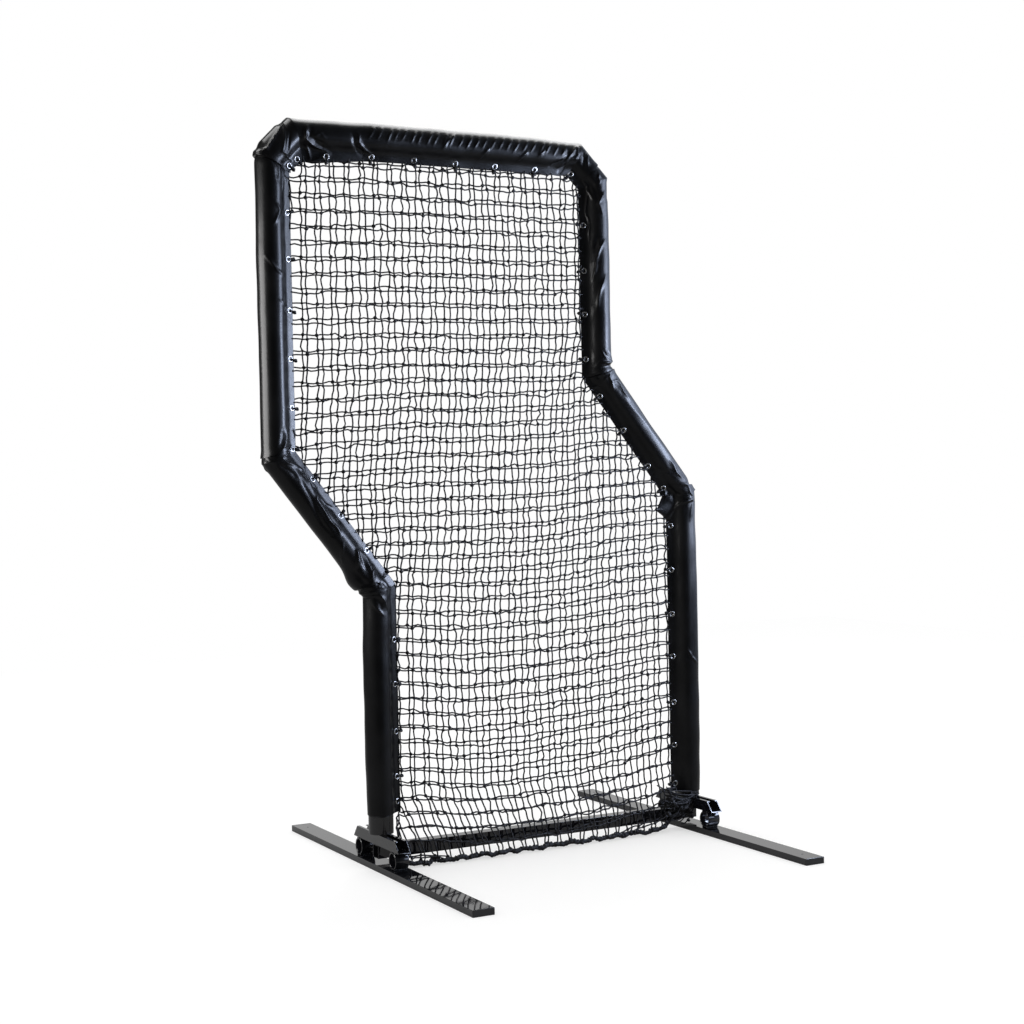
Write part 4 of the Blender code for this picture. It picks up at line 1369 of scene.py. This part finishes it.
@dataclass
class NetShape:
    """Surface that the two layers hang in, and the rope on the floor.

    Below drift the net leaves the plane of the frame and runs forward over the bottom rail, and
    the notch is the border at the left foot, across and up from the net's lower corner.
    """

    outline: Outline
    edge: float = 0.0570
    spread: float = 0.013
    spread_run: float = 0.18
    edge_spread: float = 0.0024
    drift: float = 0.24
    knee: float = 0.15
    clear_y: float = 0.045
    clear_z: float = 0.10
    sag: float = 0.012
    skew: int = 2
    rope_radius: float = 0.0070
    drape_rounds: int = 8
    probe: float = 0.0005
    floor_gap: float = 0.0015
    lift_from: float = 0.53
    lift_run: float = 0.11
    lift: float = 0.05
    lowest: float = 0.0035
    notch: tuple = ((0.0, 0.0), (-0.022, 0.10), (-0.022, 0.135), (0.0, 0.165))

    def __post_init__(self) -> None:
        """Lay out the edge of the flat net and the ends of the rope."""
        line = self.outline
        last = len(line.points) - 1
        corners = [line.points[i] + line.mitre(i) * self.edge for i in range(1, last)]
        self.left = line.points[0].x + self.edge
        self.right = line.points[last].x - self.edge
        corner = [Vector((self.left + across, up)) for across, up in self.notch]
        border = [*corner, *corners, Vector((self.right, 0.0))]
        self.sides = list(zip(border, border[1:] + border[:1]))
        self.rope_z = self.rope_radius + self.floor_gap
        self.field = np.stack([DRAPE_ACROSS, DRAPE_UP], axis=2) / 1000

    def pull(self, x: float, z: float) -> np.ndarray:
        """How far the net is drawn at a place (across, up)."""
        u = min(max((x - DRAPE_START) / DRAPE_STEP, 0.0), self.field.shape[1] - 1.001)
        i = int(u)
        heights = DRAPE_HEIGHTS
        z = min(max(z, heights[0]), heights[-1] - 0.001)
        j = max(k for k in range(len(heights) - 1) if heights[k] <= z)
        a, b = u - i, (z - heights[j]) / (heights[j + 1] - heights[j])
        low = self.field[j, i] * (1 - a) + self.field[j, i + 1] * a
        high = self.field[j + 1, i] * (1 - a) + self.field[j + 1, i + 1] * a
        return low * (1 - b) + high * b

    def drape(self, x: float, v: float) -> Vector:
        """Place in the hung net of a point of the square one."""
        here = np.array([x, v])
        for _ in range(self.drape_rounds):
            here = np.array([x, v]) + self.pull(here[0], here[1])
        return Vector(here)

    def inside(self, point: Vector) -> bool:
        """Whether a place lies within the border."""
        odd = False
        for start, end in self.sides:
            if (start.y > point.y) != (end.y > point.y):
                cross = start.x + (end.x - start.x) * (point.y - start.y) / (end.y - start.y)
                odd ^= point.x < cross
        return odd

    def leave(self, inner: Vector, outer: Vector) -> Vector:
        """Where a strand from inside the border to outside it crosses it."""
        best = 1.0
        run = outer - inner
        for start, end in self.sides:
            side = end - start
            scale = run.x * side.y - run.y * side.x
            if abs(scale) < 1e-9:
                continue
            away = start - inner
            t = (away.x * side.y - away.y * side.x) / scale
            u = (away.x * run.y - away.y * run.x) / scale
            if 0 < t < best and 0 <= u <= 1:
                best = t
        return inner + run * best

    def rope_height(self, x: float) -> float:
        """Height of the rope, which is drawn up at the right post."""
        share = min(max((x - self.lift_from) / self.lift_run, 0.0), 1.0)
        return self.rope_z + self.lift * share * share * (3 - 2 * share)

    def rope_y(self, x: float) -> float:
        """Depth of the rope, which sags forward over the floor."""
        share = min(max((x - self.left) / (self.right - self.left), 0.0), 1.0)
        peak = 1 / (1 + self.skew)
        sag = share * (1 - share) ** self.skew / (peak * (1 - peak) ** self.skew)
        return -self.clear_y - self.sag * sag

    def distance(self, x: float, v: float) -> float:
        """Distance on the flat net to its border."""
        point = Vector((x, v))
        nearest = math.inf
        for start, end in self.sides:
            run = end - start
            share = min(max((point - start).dot(run) / run.length_squared, 0.0), 1.0)
            nearest = min(nearest, (start + run * share - point).length)
        return nearest

    def place(self, x: float, v: float, side: float) -> Vector:
        """Point in space of the net at x and at height v along it.

        Args:
            x: across the screen.
            v: height along the net.
            side: -1 for the front layer, 1 for the rear one.
        """
        def middle(height: float) -> Vector:
            """Place (depth, up) between the layers."""
            if height >= self.drift:
                return Vector((0.0, height))
            w = 1 - height / self.drift
            rope = Vector((self.rope_y(x), self.rope_height(x)))
            handles = (Vector((0.0, self.drift)), Vector((0.0, self.knee)),
                       Vector((-self.clear_y, self.clear_z)), rope)
            weights = ((1 - w) ** 3, 3 * w * (1 - w) ** 2, 3 * w ** 2 * (1 - w), w ** 3)
            return sum((h * k for h, k in zip(handles, weights)), Vector((0.0, 0.0)))

        inside = min(self.distance(x, v) / self.spread_run, 1.0)
        spread = self.edge_spread + (self.spread - self.edge_spread) * inside
        here = middle(v)
        up = (middle(v + self.probe) - here).normalized()
        here += Vector((up.y, -up.x)) * side * spread
        return Vector((x, here.x, max(here.y, self.lowest)))


@dataclass
class NetLayer:
    """One layer of knotted twine, with uneven square meshes.

    Loose ends below loose_top at the left edge are joined by a strand.
    """

    name: str
    shape: NetShape
    side: float
    row_pitch: float
    column_start: float
    row_start: float
    seed: int
    column_pitch: float = 0.0445
    twine: float = 0.0023
    knot: float = 0.0051
    twine_sides: int = 6
    jitter: float = 0.00135
    waves: int = 7
    wave_size: tuple = (0.0006, 0.0016)
    wave_pace: tuple = (-14, 14)
    pieces: int = 4
    bow: float = 0.0022
    swing: float = 0.00132
    girths: tuple = (0.8, 1.25)
    knot_turn: float = 0.6
    knot_flat: tuple = (0.8, 0.92)
    depth_jitter: float = 0.0008
    hold: float = 0.06
    gap: float = 0.005
    shortest: float = 0.004
    wide: tuple = (-0.72, 0.80)
    tall: tuple = (-0.16, 2.10)
    loose_top: float = 0.17
    loose_reach: float = 0.002

    def _lines(self, start: float, pitch: float, low: float, high: float) -> list[float]:
        """Places of a row of lines between two limits."""
        first, last = math.ceil((low - start) / pitch), math.floor((high - start) / pitch)
        return [start + pitch * k for k in range(first, last + 1)]

    def _warp(self, place: Vector, waves: list) -> Vector:
        """Place of a point of the net after its slow unevenness."""
        dx = dz = 0.0
        for amount, px, pz, phase, slant in waves:
            wave = amount * math.sin(place.x * px + place.y * pz + phase)
            dx += wave * slant
            dz += wave * (1 - abs(slant))
        hold = min(self.shape.distance(place.x, place.y) / self.hold, 1.0)
        return Vector((place.x + dx * hold, place.y + dz * hold))

    def build(self, finish: Material) -> Item:
        """Make the layer's strands and knots."""
        chance = random.Random(self.seed)
        shape = self.shape
        waves = [(chance.uniform(*self.wave_size), chance.uniform(*self.wave_pace),
                  chance.uniform(*self.wave_pace), chance.uniform(*PHASES), chance.uniform(-1, 1))
                 for _ in range(self.waves)]
        columns = self._lines(self.column_start, self.column_pitch, *self.wide)
        rows = self._lines(self.row_start, self.row_pitch, *self.tall)
        places: dict[tuple[int, int], Vector] = {}
        for i, x in enumerate(columns):
            for j, v in enumerate(rows):
                dx, dz = chance.gauss(0, self.jitter), chance.gauss(0, self.jitter)
                places[i, j] = self._warp(shape.drape(x + dx, v + dz), waves)
        held = {key: place for key, place in places.items()
                if shape.inside(place) and shape.distance(place.x, place.y) > self.gap}
        knots = {key: number for number, key in enumerate(held)}
        flat, tied = list(held.values()), [1.0] * len(held)
        edges: list[tuple[int, int]] = []
        for (i, j), number in knots.items():
            for step in ((1, 0), (0, 1), (-1, 0), (0, -1)):
                other = (i + step[0], j + step[1])
                if other in knots:
                    if sum(step) > 0:
                        edges.append((number, knots[other]))
                elif other in places:
                    edges.append((number, len(flat)))
                    flat.append(shape.leave(places[i, j], places[other]))
                    tied.append(0.0)
        loose = [k for k, p in enumerate(flat) if not tied[k] and p.y < self.loose_top
                 and p.x < shape.left + self.loose_reach]
        loose.sort(key=lambda k: flat[k].y)
        edges.extend(zip(loose, loose[1:]))
        return self._weave(flat, tied, edges, chance, finish)

    def _weave(self, flat: list, tied: list, edges: list, chance: random.Random,
               finish: Material) -> Item:
        """Turn knots and strands into tubes with a knot at each crossing."""
        points = [self.shape.place(p.x, p.y, self.side) for p in flat]
        marks = list(tied)
        links = []
        for near, far in edges:
            start, end = points[near], points[far]
            run = end - start
            if run.length < self.shortest:
                links.append((near, far))
                continue
            aside = run.cross(Vector((0, 1, 0))).normalized()
            bow, swing = chance.gauss(0, self.bow), chance.gauss(0, self.swing)
            previous = near
            for k in range(1, self.pieces):
                t = k / self.pieces
                shift = bow * math.sin(math.pi * t) + swing * math.sin(2 * math.pi * t)
                depth = chance.gauss(0, self.depth_jitter)
                points.append(start + run * t + aside * shift + Vector((0, depth, 0)))
                marks.append(0.0)
                links.append((previous, len(points) - 1))
                previous = len(points) - 1
            links.append((previous, far))
        item = make_item(self.name, points, edges=links)
        mark(item, knot=marks, girth=[chance.uniform(*self.girths) for _ in marks])
        recipe = Recipe(self.name + "_recipe")
        twine, knot = recipe.size("Twine radius", self.twine), recipe.size("Knot radius", self.knot)
        girth = recipe.stored("girth")
        spin = recipe.chance((-self.knot_turn,) * 3, (self.knot_turn,) * 3, self.seed)
        stretch = recipe.vector(girth, *(girth * share for share in self.knot_flat))
        both = recipe.knotted(twine, self.twine_sides, recipe.lump(knot, 2), spin, stretch)
        return recipe.bake(item, both, finish)


# Lashings and loose strands of twine: how rough, how far turned and how much stretched
LASHING_ROUGHNESS = (190.0, 2.0, 0.007)
LASHING_TURN = 3.1
LASHING_STRETCH = ((0.75, 0.55, 0.7), (1.25, 1.0, 1.1))
STRAND_SIDES = 8


def lashed(item: Item, finish: Material, strand: float, lashing: float) -> Item:
    """Turn an object's lines into strands and its points marked as knots into rough lashings.

    Args:
        item: object with loose edges and a "knot" attribute.
        finish: its material.
        strand: radius of a strand.
        lashing: radius of a lashing.

    Returns:
        The finished object.
    """
    recipe = Recipe(item.name + "_recipe")
    twine, knot = recipe.size("Strand radius", strand), recipe.size("Lashing radius", lashing)
    lump = recipe.roughen(recipe.lump(knot, 3), *LASHING_ROUGHNESS)
    spin = recipe.chance((-LASHING_TURN,) * 3, (LASHING_TURN,) * 3, 3)
    grow = recipe.chance(*LASHING_STRETCH, 4)
    both = recipe.knotted(twine, STRAND_SIDES, lump, spin, grow)
    return recipe.bake(item, both, finish)


@dataclass
class HemRope:
    """Laid rope along the net's lower edge, lashed to the meshes.

    A wave of its course is its size, pace and phase.
    """

    shape: NetShape
    strands: int = 3
    strand_radius: float = 0.0033
    lay_radius: float = 0.0033
    pitch: float = 0.030
    lashing_pitch: float = 0.0095
    lashing_radius: float = 0.0076
    overlap: float = 0.010
    steps: int = 520
    wander: tuple = ((0.0032, 47, 0), (0.0022, 131, 1))
    lift: tuple = ((0.0022, 83, 2), (0.0016, 151, 0))
    lashing_shift: tuple = (0.2, 0.8)
    lashing_aside: tuple = (-0.003, 0.003)
    lashing_rise: tuple = (-0.0005, 0.0035)
    seed: int = 5

    def build(self, finish: Material) -> Item:
        """Make the twisted strands and the lashings."""
        chance = random.Random(self.seed)
        shape = self.shape
        left, right = shape.left - self.overlap, shape.right + self.overlap
        line = []
        for k in range(self.steps + 1):
            x = left + (right - left) * k / self.steps
            wander = sum(size * math.sin(x * pace + phase) for size, pace, phase in self.wander)
            lift = sum(size * (1 + math.sin(x * pace + phase)) for size, pace, phase in self.lift)
            line.append(Vector((x, shape.rope_y(x) + wander, shape.rope_height(x) + lift)))
        travelled = [0.0]
        for near, far in zip(line, line[1:]):
            travelled.append(travelled[-1] + (far - near).length)
        up = Vector((0, 0, 1))
        points, edges = [], []
        for strand in range(self.strands):
            base = len(points)
            for k, place in enumerate(line):
                ahead = line[min(k + 1, self.steps)] - line[max(k - 1, 0)]
                side = ahead.normalized().cross(up)
                angle = math.tau * (travelled[k] / self.pitch + strand / self.strands)
                turn = side * math.cos(angle) + up * math.sin(angle)
                points.append(place + turn * self.lay_radius)
            edges += [(base + k, base + k + 1) for k in range(self.steps)]
        marks = [0.0] * len(points)
        lashings = int(travelled[-1] / self.lashing_pitch)
        for k in range(lashings):
            goal = (k + chance.uniform(*self.lashing_shift)) * self.lashing_pitch
            index = min(int(goal / travelled[-1] * self.steps), self.steps)
            aside = chance.uniform(*self.lashing_aside)
            rise = chance.uniform(*self.lashing_rise)
            points.append(line[index] + Vector((0, aside, rise)))
            marks.append(1.0)
        item = make_item("net_hem", points, edges=edges)
        mark(item, knot=marks)
        return lashed(item, finish, self.strand_radius, self.lashing_radius)


@dataclass
class NetBunch:
    """Slack lower corner of the net, drawn together round the foot of the right post."""

    tie: tuple = (0.672, -0.046, 0.112)
    fan_high: tuple = (0.548, -0.052, 0.148)
    fan_low: tuple = (0.608, -0.052, 0.030)
    clump_high: tuple = (0.570, -0.052, 0.094)
    clump_low: tuple = (0.665, -0.052, 0.052)
    strands: int = 38
    pieces: int = 8
    lumps: int = 58
    strand_radius: float = 0.0019
    lump_radius: float = 0.0062
    tie_spread: tuple = (0.009, 0.003, 0.006)
    fan_spread: tuple = (0.010, 0.006, 0.007)
    clump_spread: tuple = (0.008, 0.006, 0.012)
    sag: tuple = (0.0, -0.006, -0.014)
    sag_spread: tuple = (0.008, 0.004, 0.008)
    seed: int = 17

    @staticmethod
    def _near(chance: random.Random, middle: object, spread: tuple) -> Vector:
        """Random place round a middle one."""
        return Vector([place + chance.gauss(0, amount) for place, amount in zip(middle, spread)])

    @staticmethod
    def _between(high: tuple, low: tuple, share: float) -> list[float]:
        """Place between two."""
        return [h + (l - h) * share for h, l in zip(high, low)]

    def build(self, finish: Material) -> Item:
        """Make the fan of strands and the clump below it."""
        chance = random.Random(self.seed)
        points, edges = [], []
        for k in range(self.strands):
            fan = self._between(self.fan_high, self.fan_low, k / (self.strands - 1))
            goal = self._near(chance, fan, self.fan_spread)
            start = self._near(chance, self.tie, self.tie_spread)
            bow = self._near(chance, self.sag, self.sag_spread)
            base = len(points)
            for step in range(self.pieces + 1):
                t = step / self.pieces
                points.append(start.lerp(goal, t) + bow * (4 * t * (1 - t)))
                if step:
                    edges.append((base + step - 1, base + step))
        marks = [0.0] * len(points) + [1.0] * self.lumps
        for _ in range(self.lumps):
            clump = self._between(self.clump_high, self.clump_low, chance.random())
            points.append(self._near(chance, clump, self.clump_spread))
        item = make_item("net_bunch", points, edges=edges)
        mark(item, knot=marks)
        return lashed(item, finish, self.strand_radius, self.lump_radius)


# ----------------------------------------------------------------------- feet


@dataclass
class Feet:
    """Painted bars, pipes and saddles with eased edges, and their weld beads."""

    nodes: dict
    eased: float = 0.0009
    thin_eased: float = 0.00054
    lip: float = 0.0022
    small_face: float = 0.0006
    weld_lift: float = 0.0022
    pipe_weld: float = 0.0105
    post_weld: float = 0.0165
    post_weld_lift: float = 0.0035
    rail_weld: float = 0.0195
    rail_weld_drop: float = 0.0015
    weld_pitch: float = 0.0016
    weld_radius: float = 0.0027
    weld_flat: tuple = (1.0, 1.0, 0.7)
    weld_stretch: tuple = ((0.85, 0.85, 0.8), (1.15, 1.15, 1.1))
    pipe_inset: float = 0.002
    rail_inset: float = 0.003
    post_weld_steps: int = 40
    merge: float = 0.00002
    sharp_angle: float = 40.0

    def eased_copy(self, node: str, width: float, finish: Material) -> Item:
        """Copy a CAD node with small radii on its sharp edges.

        Args:
            node: name of the CAD node.
            width: width of the radius.
            finish: its material.

        Returns:
            The finished object.
        """
        bm = bmesh.new()
        bm.from_mesh(self.nodes[node].data)
        bmesh.ops.remove_doubles(bm, verts=bm.verts, dist=self.merge)
        bmesh.ops.dissolve_limit(bm, angle_limit=math.radians(1), verts=bm.verts, edges=bm.edges)
        item = make_item(node + "_painted", (), finish=finish)
        bm.to_mesh(item.data)
        bm.free()
        item.data.shade_smooth()
        bevel = item.modifiers.new("eased", "BEVEL")
        bevel.width = width
        bevel.segments = 3
        bevel.limit_method = "ANGLE"
        bevel.angle_limit = math.radians(self.sharp_angle)
        settle(item)
        for face in item.data.polygons:
            face.use_smooth = face.area < self.small_face
        return item

    def weld_lines(self) -> list[list[Vector]]:
        """Lines that the weld beads follow."""
        lines = []

        def straight(low_x: float, high_x: float, y: float, z: float, inset: float) -> None:
            """Add a line across, a little in from its ends."""
            lines.append([Vector((low_x + inset, y, z)), Vector((high_x - inset, y, z))])

        for side in ("left", "right"):
            bar_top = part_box(side + "_floor_bar")[1].z
            saddle_low, saddle_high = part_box(side + "_saddle")
            for end in ("front", "rear"):
                low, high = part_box(f"{side}_{end}_pipe")
                middle = (low.y + high.y) / 2
                for z in (bar_top + self.weld_lift, saddle_low.z - self.weld_lift):
                    for y in (middle - self.pipe_weld, middle + self.pipe_weld):
                        straight(low.x, high.x, y, z, self.pipe_inset)
            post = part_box(side + "_lower_post_tube")
            centre = (post[0] + post[1]) / 2
            size, height = self.post_weld, saddle_low.z + self.post_weld_lift
            lines.append([Vector((centre.x + size * math.cos(a), size * math.sin(a), height))
                          for a in np.linspace(0, math.tau, self.post_weld_steps)])
            rail_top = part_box("bottom_rail")[1].z
            height = rail_top - self.rail_weld_drop
            for y in (-self.rail_weld, self.rail_weld):
                straight(saddle_low.x, saddle_high.x, y, height, self.rail_inset)
        return lines

    def welds(self, finish: Material) -> Item:
        """Overlapping scales of weld along every line."""
        points, edges = [], []
        for line in self.weld_lines():
            base = len(points)
            points += line
            edges += [(base + k, base + k + 1) for k in range(len(line) - 1)]
        item = make_item("weld_beads", points, edges=edges)
        recipe = Recipe("weld_recipe")
        pitch = recipe.size("Scale pitch", self.weld_pitch)
        size = recipe.size("Bead radius", self.weld_radius)
        curves = recipe.node("GeometryNodeMeshToCurve", None, {"Mesh": recipe.source})
        places = recipe.node("GeometryNodeCurveToPoints", {"mode": "LENGTH"},
                             {"Curve": curves, "Length": pitch})
        scale = recipe.move(recipe.lump(size, 2), Scale=self.weld_flat)
        grow = recipe.chance(*self.weld_stretch, 8)
        beads = recipe.scatter(scale, places, Rotation=places.beside("Rotation"), Scale=grow)
        return recipe.bake(item, beads, finish)


# --------------------------------------------------------------------- studio

PLAIN = (1.0, 1.0, 1.0)
WARM = (1.0, 0.99, 0.985)
COOL = (0.66, 0.76, 1.0)

# name, place, size, power in watts
SOFT_BOXES = (
    ("overhead_box", (0.4, 1.4, 4.8), (2.6, 1.6), 42.0),
    ("front_fill", (1.6, -5.2, 3.2), (3.0, 2.4), 26.0),
)
# name, place, the point it faces, size, brightness where 1 is white, colour
PANELS = (
    ("left_panel", (-1.86, 0.08, 1.52), (-0.62, 0.0, 1.48), (1.10, 1.0), 22.0, WARM),
    ("top_panel", (0.72, 0.36, 3.25), (0.72, 0.36, 0.0), (1.9, 0.63), 10.0, PLAIN),
    ("rear_top_panel", (0.72, 1.25, 3.25), (0.72, 1.25, 0.0), (1.9, 1.15), 4.5, PLAIN),
    ("near_right_panel", (1.72, -0.78, 1.68), (1.16, 0.05, 1.68), (1.16, 1.7), 16.5, COOL),
    ("slope_panel", (1.50, -0.94, 1.45), (0.94, -0.11, 1.45), (0.40, 0.60), 55.0, COOL),
    ("far_right_panel", (3.0, -0.2, 1.75), (0.6, 0.0, 1.75), (1.9, 2.0), 3.4, COOL),
    ("low_front_panel", (1.6, -2.28, 1.05), (0.45, 0.0, 1.4), (1.1, 0.75), 4.5, COOL),
    ("corner_top_panel", (-1.08, 0.25, 3.25), (-1.08, 0.25, 0.0), (0.7, 0.75), 14.0, PLAIN),
)


@dataclass
class Studio:
    """White floor and backdrop, soft lights and the photograph's camera.

    Angles are in degrees. The limits of the backdrop and the walls are parts of a direction:
    where each begins and is full, and how bright a wall is in gloss.
    """

    eye: tuple = (-2.3529, -4.5273, 1.1208)
    yaw: float = 28.1286
    pitch: float = -1.1609
    roll: float = -1.176
    focal_pixels: float = 1711.6
    image_pixels: float = 1024.0
    sensor: float = 36.0
    far_clip: float = 60.0
    floor_low: tuple = (-1.7, -2.0)
    floor_high: tuple = (6.0, 6.0)
    backdrop: tuple = (0.80, 0.93)
    backdrop_glow: float = 0.82
    right_wall: tuple = (0.25, 0.90, 0.80)
    left_wall: tuple = (0.30, 0.95, 0.40)
    cool_side: tuple = (0.1, 0.6)
    dimness: float = 0.05
    plain_light: float = 0.86

    def camera(self) -> None:
        """Place the camera at the photograph's viewing angle."""
        yaw, pitch, roll = (math.radians(a) for a in (self.yaw, self.pitch, self.roll))
        level = math.cos(pitch)
        forward = Vector((math.sin(yaw) * level, math.cos(yaw) * level, math.sin(pitch)))
        right = Vector((math.cos(yaw), -math.sin(yaw), 0.0))
        up = right.cross(forward)
        side = right * math.cos(roll) + up * math.sin(roll)
        top = up * math.cos(roll) - right * math.sin(roll)
        basis = Matrix((side, top, -forward)).transposed()
        data = bpy.data.cameras.new("camera")
        data.sensor_width = self.sensor
        data.lens = self.focal_pixels / self.image_pixels * self.sensor
        data.clip_end = self.far_clip
        item = bpy.data.objects.new("camera", data)
        item.matrix_world = Matrix.Translation(self.eye) @ basis.to_4x4()
        bpy.context.scene.collection.objects.link(item)
        bpy.context.scene.camera = item

    def floor(self) -> None:
        """Add the floor."""
        (left, near), (right, far) = self.floor_low, self.floor_high
        corners = [(left, near, 0.0), (right, near, 0.0), (right, far, 0.0), (left, far, 0.0)]
        finish = Floor().paint()
        make_item("studio_floor", corners, [(0, 1, 2, 3)], finish=finish, smooth=False)

    def lamp(self, name: str, place: tuple, aim: tuple, size: tuple, power: float,
             glossy: bool = True) -> Item:
        """Add one soft box.

        Args:
            name: its name.
            place: where it stands.
            aim: the point it faces.
            size: its width and height.
            power: its power in watts.
            glossy: whether it shows in gloss.

        Returns:
            The lamp.
        """
        data = bpy.data.lights.new(name, "AREA")
        data.shape = "RECTANGLE"
        data.size, data.size_y = size
        data.energy = power
        item = bpy.data.objects.new(name, data)
        item.location = place
        item.rotation_euler = (Vector(aim) - Vector(place)).to_track_quat("-Z", "Y").to_euler()
        item.visible_glossy = glossy
        item.visible_camera = False
        bpy.context.scene.collection.objects.link(item)
        return item

    def lights(self) -> None:
        """Add two soft boxes that light, and the panels that only gloss shows."""
        for name, place, size, power in SOFT_BOXES:
            self.lamp(name, place, (0, 0, 1.0), size, power, glossy=False)
        for row in PANELS:
            self.panel(*row)

    def panel(self, name: str, place: tuple, aim: tuple, size: tuple, strength: float,
              color: tuple) -> None:
        """Add a soft box that shows in gloss and nowhere else.

        Args:
            name: its name.
            place: where it stands.
            aim: the point it faces.
            size: its width and height.
            strength: how bright it is, where 1 is white.
            color: its colour.
        """
        power = strength * math.pi * size[0] * size[1]
        item = self.lamp(name, place, aim, size, power)
        item.data.color = color
        item.visible_diffuse = False
        item.visible_transmission = False
        item.visible_volume_scatter = False

    def world(self) -> None:
        """Surround the scene: white to the camera, a dim studio in gloss, plain light."""
        world = bpy.data.worlds.new("studio")
        bpy.context.scene.world = world
        world.use_nodes = True
        board = Board(world.node_tree)
        for node in list(board.tree.nodes):
            board.tree.nodes.remove(node)
        heading = board.node("ShaderNodeTexCoord", output="Generated")
        x = board.node("ShaderNodeSeparateXYZ", None, {"Vector": heading}, "X")
        y = x.beside("Y")
        yaw = math.radians(self.yaw)
        ahead = x * math.sin(yaw) + y * math.cos(yaw)
        backdrop = board.range(ahead, *self.backdrop)
        right = board.range(x, *self.right_wall)
        left = board.range(x * -1.0, *self.left_wall)
        studio = backdrop * self.backdrop_glow + (self.dimness + right + left) * (1 - backdrop)
        camera = board.ray("Camera") + board.ray("Transmission")
        glossy = board.ray("Glossy")
        plain = self.plain_light * (1 - camera) * (1 - glossy)
        strength = camera + glossy * studio + plain
        cool = board.range(x, *self.cool_side) * glossy * (1 - backdrop)
        color = board.blend(cool, WHITE, shade(*COOL))
        light = board.node("ShaderNodeBackground", None, {"Color": color, "Strength": strength})
        board.node("ShaderNodeOutputWorld", None, {"Surface": light})

    def build(self) -> None:
        """Set the whole studio up."""
        self.camera()
        self.floor()
        self.lights()
        self.world()
        scene = bpy.context.scene
        scene.view_settings.view_transform = "Standard"


# ----------------------------------------------------------------------- main


def build_pads(outline: Outline, lacing: Lacing, vinyl: Material, foam: Material) -> None:
    """Build every foam sleeve and cover."""
    profile = Profile(PadSizes())
    left_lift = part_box("left_lower_post_cover")[0].z - outline.points[0].y
    right_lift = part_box("right_lower_post_cover")[0].z - outline.points[-1].y
    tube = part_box("left_lower_post_tube")
    bore = (tube[1].y - tube[0].y) / 2 + TUBE_CLEARANCE
    for run in Run:
        first, last = run.value[:2]
        cover = run.cover(outline, profile, left_lift if first < TOP_SEGMENT else right_lift)
        cover.eyelets = lacing.lengths(cover)
        made = attach(cover.build(vinyl), "vinyl", run.title + "_cover")
        lacing.covers.append(cover)
        sleeve = FoamSleeve(run.title + "_foam_sleeve", first, last, outline, bore)
        if run is Run.LEFT_LOWER_POST:
            sleeve.bare_first = left_lift
            sleeve.grooves = ((1.15, 0.0035, 0.0028),)
        if run is Run.RIGHT_LOWER_POST:
            sleeve.bare_last = right_lift
        made = attach(sleeve.build(foam), "foam", run.title + "_foam")


def build_feet(nodes: dict, paint: Material, plastic: Material) -> None:
    """Build the bars, pipes, saddles, rail and welds."""
    feet = Feet(nodes)
    attach(feet.eased_copy("bottom_rail", feet.eased, paint), "black_paint", "bottom_rail")
    for side in ("left", "right"):
        pieces = [(side + "_floor_bar", feet.eased), (side + "_saddle", feet.thin_eased)]
        for end in ("front", "rear"):
            pieces += [(f"{side}_bar_{end}_cap", feet.eased), (f"{side}_{end}_pipe", feet.lip)]
        for node, width in pieces:
            is_cap = node.endswith("cap")
            made = feet.eased_copy(node, width, plastic if is_cap else paint)
            attach(made, "cap_plastic" if is_cap else "black_paint", node)
    attach(feet.welds(paint), "black_paint")


def main() -> None:
    """Build the whole dressed screen."""
    logging.basicConfig(level=logging.INFO, format="%(name)s: %(message)s")
    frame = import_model()
    nodes = frame["nodes"]
    Studio().build()
    vinyl, foam, twine = Vinyl().paint(), Foam().paint(), TWINE.paint()
    outline = Outline(nodes)
    lacing = Lacing(outline, PadSizes().eyelet_reach)
    build_pads(outline, lacing, vinyl, foam)
    attach(lacing.eyelets(NICKEL.paint()), "vinyl")
    attach(lacing.cords(TIE_CORD.paint()), "twine")
    shape = NetShape(outline)
    front = NetLayer("net_front_layer", shape, side=-1.0, row_pitch=0.0437, column_start=-0.5745,
                     row_start=2.0021, seed=21)
    rear = NetLayer("net_rear_layer", shape, side=1.0, row_pitch=0.04387, column_start=-0.5845,
                    row_start=2.0151, seed=34)
    attach(front.build(twine), "twine", "front_net")
    attach(rear.build(twine), "twine", "rear_net")
    attach(HemRope(shape).build(twine), "twine", "net_hem_rope")
    attach(NetBunch().build(twine), "twine")
    build_feet(nodes, PAINT.paint(), PLASTIC.paint())
    steel = STEEL.paint()
    for name in outline.tubes:
        nodes[name].material_slots[0].material = steel


if __name__ == "__main__":
    main()
